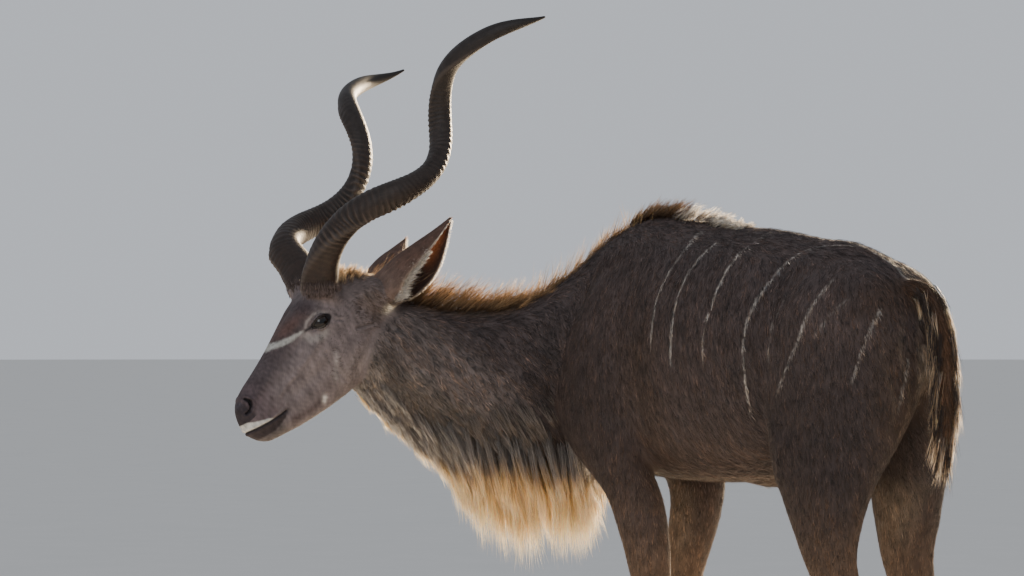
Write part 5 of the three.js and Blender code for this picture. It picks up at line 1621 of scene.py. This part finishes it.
class KUDU_OT_horns(bpy.types.Operator):
    """The pair of spiral horns"""
    bl_idname = "kudu.horns"
    bl_label = "Horns"

    def execute(self, context):
        material, rng = horn_material(), seeded("horns")
        for side in SIDES:
            made, values = horn_mesh(side, rng)
            piece = mesh_object(f"horn_{side}_horn", *made, material)
            put_attributes(piece.data, **values)
            ready(piece, "horn", f"horn_{side}")
        return {"FINISHED"}


LID_STATIONS, LID_SIDES, LASHES = 96, 10, 60


def lid_ring(sign):
    """The dark margin of the lids, a thin ring round their opening."""
    angle = around(LID_STATIONS)
    tall = np.where(np.sin(angle) > 0, OPENING["upper"], OPENING["lower"])

    def rim(share):
        return eye_point(sign, OPENING["long"] * share * np.cos(angle),
                         np.sin(angle) * share * tall, EYE_RADIUS + 0.9)

    middle = rim(0.99)
    out = unit(middle - eye_centre(sign))[:, None]
    aside = unit(rim(1.02) - middle)[:, None]
    turn = around(LID_SIDES)[None, :, None]
    rings = middle[:, None] + 1.3 * (out * np.cos(turn) + aside * np.sin(turn))
    count, start = LID_STATIONS * LID_SIDES, np.arange(LID_STATIONS)[:, None] * LID_SIDES
    k, j = (start + (np.arange(LID_SIDES) + i) % LID_SIDES for i in (0, 1))
    quads = np.stack([k, j, (j + LID_SIDES) % count, (k + LID_SIDES) % count], -1)
    return rings.reshape(-1, 3), quads.reshape(-1, 4)


class KUDU_OT_eyes(bpy.types.Operator):
    """Both eyes, with the dark margin of their lids"""
    bl_idname = "kudu.eyes"
    bl_label = "Eyes"

    def execute(self, context):
        material, margin = eye_material(), lid_material()
        rng = seeded("lashes")
        for side, sign in SIDES.items():
            centre = eye_centre(sign)
            points, faces = ball(centre, (EYE_RADIUS,) * 3, (72, 48))
            _, _, _, along, across, _ = eye_places(points, sign)
            piece = mesh_object(f"eye_{side}_ball", points, faces, material)
            put_attributes(piece.data, along=along, across=across)
            ready(piece, "eye", f"eye_{side}")
            ready(mesh_object(f"eye_{side}_lid_margin", *lid_ring(sign), margin), "face_coat")
            at = rng.uniform(0.12 * np.pi, 0.95 * np.pi, LASHES)
            root = eye_point(sign, OPENING["long"] * 1.04 * np.cos(at),
                             OPENING["upper"] * 1.06 * np.sin(at), EYE_RADIUS + 1.8)
            lie = leaning(unit(root - centre) + 0.25 * HEAD_UP - 0.35 * UP, 0.1, rng)
            made = strands(root, unit(np.cross(lie, HEAD_FORWARD)), lie,
                           rng.uniform(7, 13, LASHES), 0.55, rings=3)
            dark = np.tile([0.02, 0.015, 0.014], (LASHES, 1))
            hair_object(f"eye_{side}_lashes", margin, made, dark, rng.uniform(0, 1, LASHES),
                        np.stack([at, at], -1), "face_coat")
        return {"FINISHED"}


class KUDU_OT_hooves(bpy.types.Operator):
    """The two claws of each foot"""
    bl_idname = "kudu.hooves"
    bl_label = "Hooves"

    def execute(self, context):
        material = hoof_material()
        for limb_name in STANCE:
            for place in ("inner", "outer"):
                node = f"{limb_name.replace('leg', 'hoof')}_{place}"
                made = claw_mesh(limb_name, place == "inner")
                ready(mesh_object(f"{node}_claw", *made, material), "hoof", node)
        return {"FINISHED"}


def coat_roots(count, rng):
    """Roots of short tufts over the skin, with what the skin says there."""
    faces, points, form = SKIN["faces"], SKIN["points"], SKIN["form"]
    corners = points[faces]
    sides = corners[:, 1:] - corners[:, :1]
    area = np.linalg.norm(np.cross(sides[:, 0], sides[:, 1]), axis=1)
    hair = SKIN["hair"][faces].mean(1)
    middle = corners.mean(1)
    face_form = form[faces[:, 0]]
    on_leg = (face_form > TAIL_CODE) & (face_form < FIRST_EAR)
    weight = area / (hair[:, 0] * hair[:, 1])
    weight = weight * np.where(face_form >= FIRST_EAR, 0.45, 1.0)
    weight = weight * np.where(on_leg, mix(0.4, 0.9, step(450, 700, middle[:, 2])), 1)
    weight = weight * np.where(face_form == TAIL_CODE, 2.5, 1.0)
    weight = weight * furred(middle, face_form)
    picked = np.sort(rng.choice(len(faces), count, p=weight / weight.sum()))
    u, w = rng.uniform(0, 1, (2, count))
    over = u + w > 1
    u, w = np.where(over, 1 - u, u), np.where(over, 1 - w, w)
    shares = np.stack([1 - u - w, u, w], -1)[..., None]
    at = lambda values: (values[faces[picked]] * shares).sum(1)
    root, normal, lie = at(points), unit(at(SKIN["normals"])), at(SKIN["lie"])
    lie = lie + rng.normal(0, 0.13, lie.shape)
    lie = unit(lie - (lie * normal).sum(-1, keepdims=True) * normal)
    return {"root": root, "normal": normal, "lie": lie, "hair": at(SKIN["hair"]),
            "zones": at(SKIN["zones"]), "form": form[faces[picked, 0]],
            "ears": SKIN["ears"][faces[picked, 0]], "unwrap": SKIN["unwrap"][faces[picked, 0]]}


def furred(points, form):
    """Where fur grows: not on the eyes, nostrils, nose, claws or the line of the mouth."""
    t, left, h = head_places(points)
    nostril = (line_distance(t, h, NOSTRIL_LINE) < 7) & (np.abs(left) > 15)
    mouth = (line_distance(t, h, MOUTH_LINE) < 2.0) & (t > 180)
    nose = (np.hypot(t - 262, h + 14) < 42) & (t > 240) & (h > -44)
    bare = (form == SKULL_CODE) & (nostril | mouth | nose)
    return ~(bare | near_eyes(points, 40, 1.3) | (points[:, 2] < LEG_FOOT + 2))


COAT_SLOTS = {"trunk": "body_coat", "neck": "neck_coat", "skull": "face_coat", "tail": "tail_coat",
              "ear_left": "body_coat", "ear_right": "body_coat"}
MOST_TUFTS = 49000


class KUDU_OT_coat(bpy.types.Operator):
    """Short fur: tufts that lie along the body, smallest on the face and feet"""
    bl_idname = "kudu.coat"
    bl_label = "Short coat"

    def execute(self, context):
        sizes, rng = context.scene.kudu, seeded("coat")
        found = coat_roots(sizes.tufts // (1), rng)
        material = coat_material("short_coat", 0.5, 2.2)
        smooth = coat_material("face_fur", 0.84, 1.25)
        root, normal, lie, zones = (found[key] for key in ("root", "normal", "lie", "zones"))
        form, along, turn = found["form"], found["unwrap"][:, 0], found["unwrap"][:, 1]
        tint = colours_at(root, normal, zones, found["ears"], sizes)
        count = len(tint)
        chance = rng.uniform(0, 1, count)
        lock, aside = gathered(root, lie, normal)
        shared = rng.normal(0, 1, lock.max() + 1)[lock].clip(-2, 2)
        t = head_places(root)[0]
        head = np.where(form == SKULL_CODE, 1 - 0.5 * step(-50, -120, t),
                        zones[:, 1] * step(-125, -60, t))
        rough = np.maximum(zones[:, 0], zones[:, 1]) * (1 - head)

        def by_place(body, neck_value, face):
            return mix(mix(body, neck_value, rough), face, head)

        tint = tint * (1 + by_place(0.13, 0.17, 0.08) * shared)[:, None]
        own = by_place(0.5, 0.52, 0.26) * rng.normal(0, 1, count).clip(-2.4, 1.9)
        tint = tint * (mix(0.88, 0.98, head) * np.exp(own))[:, None]
        tint = tint * (1 + (mix(0.06, 0.0, head) * shared)[:, None] * np.array([1.0, 0, -1.0]))
        length = found["hair"][:, 0] * rng.uniform(0.75, 1.2, count)
        width = found["hair"][:, 1] * rng.uniform(0.65, 1.15, count)
        lift = by_place(0.11, 0.16, 0.045) * rng.uniform(0.4, 1.8, count)
        bend = (by_place(0.35, 0.6, 0.1) * aside / length).clip(-0.5, 0.5)
        bend = bend + by_place(0.1, 0.16, 0.05) * rng.normal(0, 1, count)
        left = (turn < 0.25) | (turn >= 0.75)
        pieces = []
        for code, name in enumerate(FORM_CODES):
            mine = form == code
            if code > SKULL_CODE:
                pieces.append((name, name, mine, 0.0))
            else:
                pieces.append((name, f"{name}_left", mine & left, 0.5))
                pieces.append((name, f"{name}_right", mine & ~left, 0.0))
        for name, label, mine, moved in (piece for piece in pieces if piece[2].any()):
            picked = np.flatnonzero(mine)
            picked = picked[np.argsort(along[picked], kind="stable")]
            parts = math.ceil(len(picked) / MOST_TUFTS)
            for k, at in enumerate(np.array_split(picked, parts)):
                made = strands(root[at], normal[at], lie[at], length[at], width[at], thick=0.3,
                               lift=lift[at], bend=bend[at], rings=1)
                places = np.stack([along[at], (turn[at] + moved) % 1], -1)
                hair_object(f"coat_{label}_{k + 1}", smooth if name == "skull" else material, made,
                            tint[at], chance[at], places, COAT_SLOTS.get(name, "leg_coat"))
        return {"FINISHED"}


LIT = 0.75  # share of light that goes through sunlit hair
LONG = {}  # materials of long hair, by that share
ALONG_LOCK = 0.6  # how far a lock's roots are drawn in along it


def long_hair(name, slot, rng, root, lie, length, each, spread, colours, places=None, width=1.5,
              rings=3, sag=0.0, wave=0.06, uneven=0.3, glow=0.0, turning=None, full=0.4,
              shades=0.2):
    """Locks of hair, each of many strands that start apart and run together at its tip."""
    n = len(root)
    count = n * each
    tip = root + lie * length[:, None]
    way = unit(tip - root)[:, None]
    scatter = rng.normal(0, spread, (n, each, 3))
    scatter -= (scatter * way).sum(-1, keepdims=True) * way * ALONG_LOCK
    start = (root[:, None] + scatter).reshape(-1, 3)
    end = tip[:, None] + scatter * 0.15 + rng.normal(0, spread * 0.25, scatter.shape)
    away = end.reshape(-1, 3) - start
    length = np.linalg.norm(away, axis=1) * rng.uniform(1 - uneven, 1.04, count)
    lie = unit(away)
    normal = unit(np.cross(lie, rng.normal(0, 1, (count, 3))))
    bend = rng.normal(0, wave, count)
    made = strands(start, normal, lie, length, width * rng.uniform(0.7, 1.25, count), thick=0.45,
                   lift=rng.normal(0, wave, count), sag=sag, bend=bend, rings=rings, full=full)
    low, high = (np.tile(np.array(c), (count, 1)) for c in colours)
    shared = 1 + shades * np.repeat(rng.normal(0, 1, n).clip(-2, 2), each)
    shade = (shared * rng.uniform(0.75, 1.25, count))[:, None]
    where = np.repeat(root[:, :2] if places is None else np.column_stack(places), each, axis=0)
    hair_object(name, LONG[glow], made, low * shade, rng.uniform(0, 1, count), where, slot,
                high * shade, turning)


BEARD_DEPTH = Rows("v length", [(0.14, 80), (0.2, 120), (0.23, 186), (0.28, 215), (0.36, 228),
                                (0.44, 245), (0.5, 228), (0.56, 186), (0.62, 152), (0.68, 124),
                                (0.75, 90), (0.83, 72), (0.91, 44), (1, 30)])
# Where the beard turns from grey to the painted gold of hair in sunlight: place along the body and
# height
SUNLIT_BEARD_LINE = [(-852, 980), (-843, 935), (-827, 892), (-815, 868), (-794, 828), (-742, 795),
             (-684, 772), (-607, 788), (-565, 765), (-500, 765)]
BEARD_GREY = (0.165, 0.134, 0.112)
BEARD = (  # locks, strands in each, reach along and round the neck, length, lean back and painted sunlit colour
    ("beard_middle", 300, 24, (0.18, 0.97), (0.0, 0.5), 1.0, 0.12, (1.0, 0.6, 0.2)),
    ("beard_sides", 260, 22, (0.16, 0.97), (0.4, 0.95), 0.8, 0.2, (1.0, 0.54, 0.17)),
    ("beard_top", 330, 14, (0.2, 0.97), (0.8, 1.35), 0.3, 0.6, (0.25, 0.2, 0.17)),
)


def neck_root(v, angle):
    return neck(v, angle, np.full(len(v), -9.0))


# painted sunlight: share of the painted sunlit colour, below the line and towards the tips
def beard_sunlit(points, along):
    edge = np.interp(points[:, 0], *np.array(SUNLIT_BEARD_LINE).T)
    ragged = 7 * np.sin(points[:, 0] / 9.0 + points[:, 1] / 13.0)
    return step(12, -40, points[:, 2] - edge + ragged) * step(0.0, 0.3, along)


class KUDU_OT_beard(bpy.types.Operator):
    """The long hair under the throat and neck, grey above and painted sunlit gold below, in three
    pieces
    """
    bl_idname = "kudu.beard"
    bl_label = "Beard"

    def execute(self, context):
        rng = seeded("beard")
        for glow in (LIT, 0.0):
            LONG[glow] = coat_material(f"long_hair_{len(LONG)}", 0.8, 1.2, 0.5, glow)
        for name, locks, each, reach, sides, scale, back, sunlit in BEARD:
            v = np.sort(rng.uniform(*reach, locks))
            turn = rng.choice([-1, 1], locks) * mix(*sides, rng.uniform(0, 1, locks))
            ahead, side = NECK_PATH.ahead(v), neck_side(v)
            slant = (back + 0.4 * step(0.5, 0.7, v))[:, None]
            lie = leaning(-UP - slant * ahead + 0.16 * turn[:, None] * side, 0.06, rng)
            length = BEARD_DEPTH(v)["length"] * scale * rng.uniform(0.74, 1.08, locks)
            long_hair(name, "neck_coat", rng, neck_root(v, -np.pi / 2 + turn), lie, length, each,
                      5.0, (BEARD_GREY, sunlit), (v, turn), uneven=0.2, wave=0.035, full=0.6,
                      shades=0.16, turning=beard_sunlit, glow=0.0 if name == "beard_top" else LIT)
        return {"FINISHED"}


NAPE = ((0.1, 0.06, 0.035), (0.36, 0.215, 0.1))  # colours of hair at its root and tip
NAPE_BRIGHT = ((0.16, 0.095, 0.045), (0.62, 0.4, 0.18))
CREST_DARK = ((0.05, 0.028, 0.017), (0.26, 0.155, 0.08))
CREST_PALE = ((0.16, 0.115, 0.075), (0.74, 0.58, 0.4))
POLL = ((0.11, 0.072, 0.05), (0.8, 0.56, 0.3))
HORN_RING = ((0.165, 0.125, 0.118), (0.095, 0.066, 0.053))
CREST_LOCKS, THIN_LOCKS, POLL_LOCKS, RING_LOCKS = 200, 380, 120, 700
CREST_PALE_FROM = -300  # place along the trunk


def nape(rng):
    v = np.append(np.linspace(0.05, 0.4, 70), np.linspace(0.4, 0.97, 220))
    count = len(v)
    turn = rng.uniform(-0.28, 0.28, count)
    lie = leaning(-0.72 * NECK_PATH.ahead(v) + 0.72 * UP - turn[:, None] * neck_side(v) * 0.6,
                  0.12, rng)
    length = np.interp(v, [0.3, 0.46, 0.6, 0.9, 1], [46, 106, 124, 116, 84])
    long_hair("mane_nape", "neck_coat", rng, neck_root(v, np.pi / 2 + turn), lie,
              length * rng.uniform(0.7, 1.1, count), 14, 4.5, NAPE, (v, turn), width=1.3,
              sag=0.12, wave=0.1, uneven=0.45)


def crest(rng):
    count = CREST_LOCKS
    x = np.sort(rng.uniform(-478, -60, count))
    turn = rng.uniform(-0.16, 0.16, count)
    root = trunk(x, np.pi / 2 + turn, np.full(count, -5.0))
    tall = np.interp(x, [-478, -430, -250, -150, -60], [70, 90, 84, 52, 30])
    steep = np.interp(x, [-470, -400, -60], [1.1, 0.72, 0.32])[:, None]
    lie = leaning(np.array([1.0, 0, 0]) + UP * steep, 0.11, rng)
    tall = tall * rng.uniform(0.65, 1.1, count)
    pale = x + rng.normal(0, 28, count) > CREST_PALE_FROM
    kinds = (~pale, CREST_DARK, 0.0), (pale, CREST_PALE, LIT)
    for k, (mine, colours, glow) in enumerate(kinds):
        long_hair(f"crest_hair_{k + 1}", "neck_coat", rng, root[mine], lie[mine], tall[mine],
                  15, 4.0, colours, (x[mine], turn[mine]), width=1.2, sag=0.1, uneven=0.45,
                  glow=glow)


def thin_mane(rng):
    v = rng.uniform(0.0, 0.5, THIN_LOCKS)
    root = neck_root(v, np.pi / 2 + rng.uniform(-0.2, 0.2, THIN_LOCKS))
    lie = leaning(UP - 0.45 * NECK_PATH.ahead(v), 0.2, rng)
    length = rng.uniform(38, 86, THIN_LOCKS) * np.interp(v, [0.25, 0.35, 0.5], [1, 1.2, 1.1])
    long_hair("mane_thin", "neck_coat", rng, root, lie, length, 2, 3.0, NAPE_BRIGHT, width=0.9)


def poll_tuft(rng):
    count = POLL_LOCKS
    t, turn = rng.uniform(-160, -94, count), rng.uniform(-0.95, 0.95, count)
    root = skull(t, np.pi / 2 + turn, np.full(count, -9.0))
    upward = mix(1.0, 0.5, step(-110, -140, t))[:, None]
    lie = leaning(upward * UP - 0.5 * HEAD_AHEAD, 0.22, rng)
    long_hair("tuft_poll", "face_coat", rng, root, lie, rng.uniform(22, 38, count), 10, 3.5,
              POLL, (t, turn), width=1.1, rings=2)


def horn_rings(rng):
    count = RING_LOCKS
    for horn in SIDES:
        centre, ahead, across, outward = horn_directions(horn, np.full(count, -0.004))
        angle = rng.uniform(0, 2 * np.pi, count)[:, None]
        out = across * np.sin(angle) - outward * np.cos(angle)
        down = rng.uniform(-6, 22, (count, 1))
        away = HORN_THICKNESS(0.0)["radius"] + 1.5 - 0.35 * down
        root = centre + out * away - ahead * down
        lie = leaning(ahead + 0.12 * out, 0.14, rng)
        long_hair(f"horn_{horn}_ring", "face_coat", rng, root, lie, rng.uniform(12, 28, count),
                  4, 3.0, HORN_RING, (angle, root[:, 2]), width=1.3, rings=1)


class KUDU_OT_mane(bpy.types.Operator):
    """Long hair along the nape, the crest of the withers, the tuft and rings at the horns"""
    bl_idname = "kudu.mane"
    bl_label = "Mane"

    def execute(self, context):
        rng = seeded("mane")
        for part in (nape, crest, thin_mane, poll_tuft, horn_rings):
            part(rng)
        return {"FINISHED"}


FRINGE = ((0.6, 0.52, 0.42), (0.92, 0.84, 0.72))
# root and tip colours of the hair along the ear edges, pale in part as painted light from behind
EAR_RIM = ((0.4, 0.3, 0.2), (0.85, 0.7, 0.5))
FRINGE_LOCKS, RIM_LOCKS = 230, 420


class KUDU_OT_fringes(bpy.types.Operator):
    """White fringes inside the ears and pale hair along their edges, pale in part as painted light
    from behind
    """
    bl_idname = "kudu.fringes"
    bl_label = "Ear fringes"

    def execute(self, context):
        rng = seeded("fringes")
        for name, (sign, *_) in EAR_POSE.items():
            _, axis, facing, wide, _ = ear_frame(name)
            rear = wide * -sign

            def edge(v, front, inward=0.0, wall=0.0):
                gape = np.radians(EAR_OPEN(v)["gape"]) + inward
                return ear_point(name, v, gape if (sign > 0) == front else 2 * np.pi - gape, wall)

            count = FRINGE_LOCKS
            v = rng.uniform(0.08, 0.62, count)
            root = edge(v, True, rng.uniform(0, 0.45, count), EAR_WALL(v)["wall"])
            lie = leaning(0.6 * axis + 0.8 * rear + 0.1 * facing + 0 * root, 0.14, rng)
            length = rng.uniform(20, 34, count) * np.interp(v, [0.1, 0.3, 0.6], [1, 1, 0.55])
            long_hair(f"{name}_fringe", "body_coat", rng, root, lie, length, 9, 4.5, FRINGE,
                      (v, root[:, 2]), width=1.0, rings=2, glow=LIT)
            count = RIM_LOCKS
            v, front = rng.uniform(0.04, 0.98, count), (rng.uniform(0, 1, count) < 0.5)[:, None]
            root = np.where(front, edge(v, True), edge(v, False))
            out = np.where(front, -rear, rear)
            lie = leaning(axis + 0.45 * out + 0.25 * facing, 0.12, rng)
            long_hair(f"{name}_rim", "body_coat", rng, root, lie, rng.uniform(6, 10, count), 4, 1.2,
                      EAR_RIM, (v, front), width=0.9, rings=1, glow=LIT)
        return {"FINISHED"}


BRUSH = (  # locks, colours at root and tip, how far out they stand and the light through them
    ("tail_dark", 95, ((0.05, 0.032, 0.023), (0.03, 0.02, 0.016)), 1.0, 0.0),
    ("tail_pale", 60, ((0.13, 0.072, 0.04), (0.52, 0.32, 0.16)), 0.85, LIT),
)


class KUDU_OT_brush(bpy.types.Operator):
    """The brush of long hair on the tail"""
    bl_idname = "kudu.brush"
    bl_label = "Tail hair"

    def execute(self, context):
        rng = seeded("brush")
        for name, locks, colours, wide, glow in BRUSH:
            v = np.sort(rng.uniform(0.18, 0.99, locks))
            across = rng.uniform(-1, 1, locks)
            if name == "tail_pale":
                across = np.sign(across) * mix(0.75, 1.0, np.abs(across))
            rng.uniform(0, 1, locks)  # a draw that only keeps the order of the next ones
            edge = np.where(across > 0, 0.0, np.pi)
            root = tail(v, edge + rng.uniform(-1, 1, locks), np.full(locks, -5.0))
            side = np.sign(root[:, 1])[:, None] * np.array([0, 1.0, 0])
            tucked = np.array([-0.13, 0, -0.12])
            lie = leaning(TAIL_PATH.ahead(v) + 0.13 * wide * side + tucked, 0.05, rng)
            length = 118 * rng.uniform(0.65, 1.05, locks)
            length = length * np.interp(v, [0.18, 0.5, 1], [0.45, 0.9, 1])
            long_hair(name, "tail_coat", rng, root, lie, length, 14, 4.5, colours, (v, across),
                      glow=glow)
        return {"FINISHED"}


LENS, SENSOR = 191.95, 36
CAMERA_AZIMUTH, CAMERA_ALONG, CAMERA_AWAY, CAMERA_HEIGHT = 54, -0.556, 12.0, 1.2
FLOOR_RADIUS, FLOOR_SIDES = 80.0, 96
SKY, SKY_STRENGTH = (0.79, 0.83, 0.9, 1), 0.72
LIGHTS = (  # place, aim, size, power and colour
    ("key", (-2.8, 5.1, 2.4), (-0.3, 0, 1.0), 1.5, 2700, (1.0, 0.78, 0.52)),
    ("front", (4.5, -6.0, 4.0), (0, 0, 1.0), 4.0, 210, (0.92, 0.96, 1.0)),
)


class KUDU_OT_stage(bpy.types.Operator):
    """Floor, lights and camera"""
    bl_idname = "kudu.stage"
    bl_label = "Stage"

    def execute(self, context):
        scene = context.scene
        angle, k = around(FLOOR_SIDES), np.arange(FLOOR_SIDES)
        points = np.stack([np.cos(angle), np.sin(angle), 0 * angle], -1) * FLOOR_RADIUS * MM
        points = np.concatenate([[[0, 0, 0]], points])
        faces = np.stack([0 * k, k + 1, (k + 1) % FLOOR_SIDES + 1], -1)
        floor = mesh_object("floor", points, faces, floor_material())
        world = bpy.data.worlds.new("studio")
        world.use_nodes = True
        background = world.node_tree.nodes["Background"]
        background.inputs["Color"].default_value = SKY
        background.inputs["Strength"].default_value = SKY_STRENGTH
        scene.world = world
        for name, place, aim, size, power, colour in LIGHTS:
            data = bpy.data.lights.new(name, "AREA")
            data.size, data.energy, data.color = size, power, colour
            lamp = bpy.data.objects.new(name, data)
            lamp.location = place
            lamp.rotation_euler = (Vector(aim) - Vector(place)).to_track_quat("-Z", "Y").to_euler()
            scene.collection.objects.link(lamp)
        data = bpy.data.cameras.new("photo_view")
        data.lens, data.sensor_width, data.clip_end = LENS, SENSOR, 300
        camera = bpy.data.objects.new("photo_view", data)
        azimuth = math.radians(CAMERA_AZIMUTH)
        right = np.array([math.cos(azimuth), math.sin(azimuth), 0])
        look = np.array([-math.sin(azimuth), math.cos(azimuth), 0])
        camera.location = (CAMERA_ALONG * right - CAMERA_AWAY * look + CAMERA_HEIGHT * UP
                           + SHIFT * (1, 1, 0))
        camera.rotation_euler = (math.pi / 2, 0, azimuth)
        scene.collection.objects.link(camera)
        scene.camera = camera
        return {"FINISHED"}


STEPS = (KUDU_OT_skin, KUDU_OT_coat, KUDU_OT_horns, KUDU_OT_eyes, KUDU_OT_hooves, KUDU_OT_beard,
         KUDU_OT_mane, KUDU_OT_fringes, KUDU_OT_brush, KUDU_OT_stage)


class KUDU_PT_panel(bpy.types.Panel):
    """Sizes and steps of the kudu"""
    bl_idname = "KUDU_PT_panel"
    bl_label = "Kudu"
    bl_space_type = "VIEW_3D"
    bl_region_type = "UI"
    bl_category = "Kudu"

    def draw(self, context):
        column = self.layout.column()
        for name in KuduSizes.__annotations__:
            column.prop(context.scene.kudu, name)
        for one in STEPS:
            column.operator(one.bl_idname)


CLASSES = (KuduSizes, *STEPS, KUDU_PT_panel)


def register():
    for one in CLASSES:
        bpy.utils.register_class(one)
    bpy.types.Scene.kudu = bpy.props.PointerProperty(type=KuduSizes)


def unregister():
    del bpy.types.Scene.kudu
    for one in reversed(CLASSES):
        bpy.utils.unregister_class(one)


def main():
    register()
    for one in STEPS:
        group, name = one.bl_idname.split(".")
        getattr(getattr(bpy.ops, group), name)()


if __name__ == "__main__":
    main()
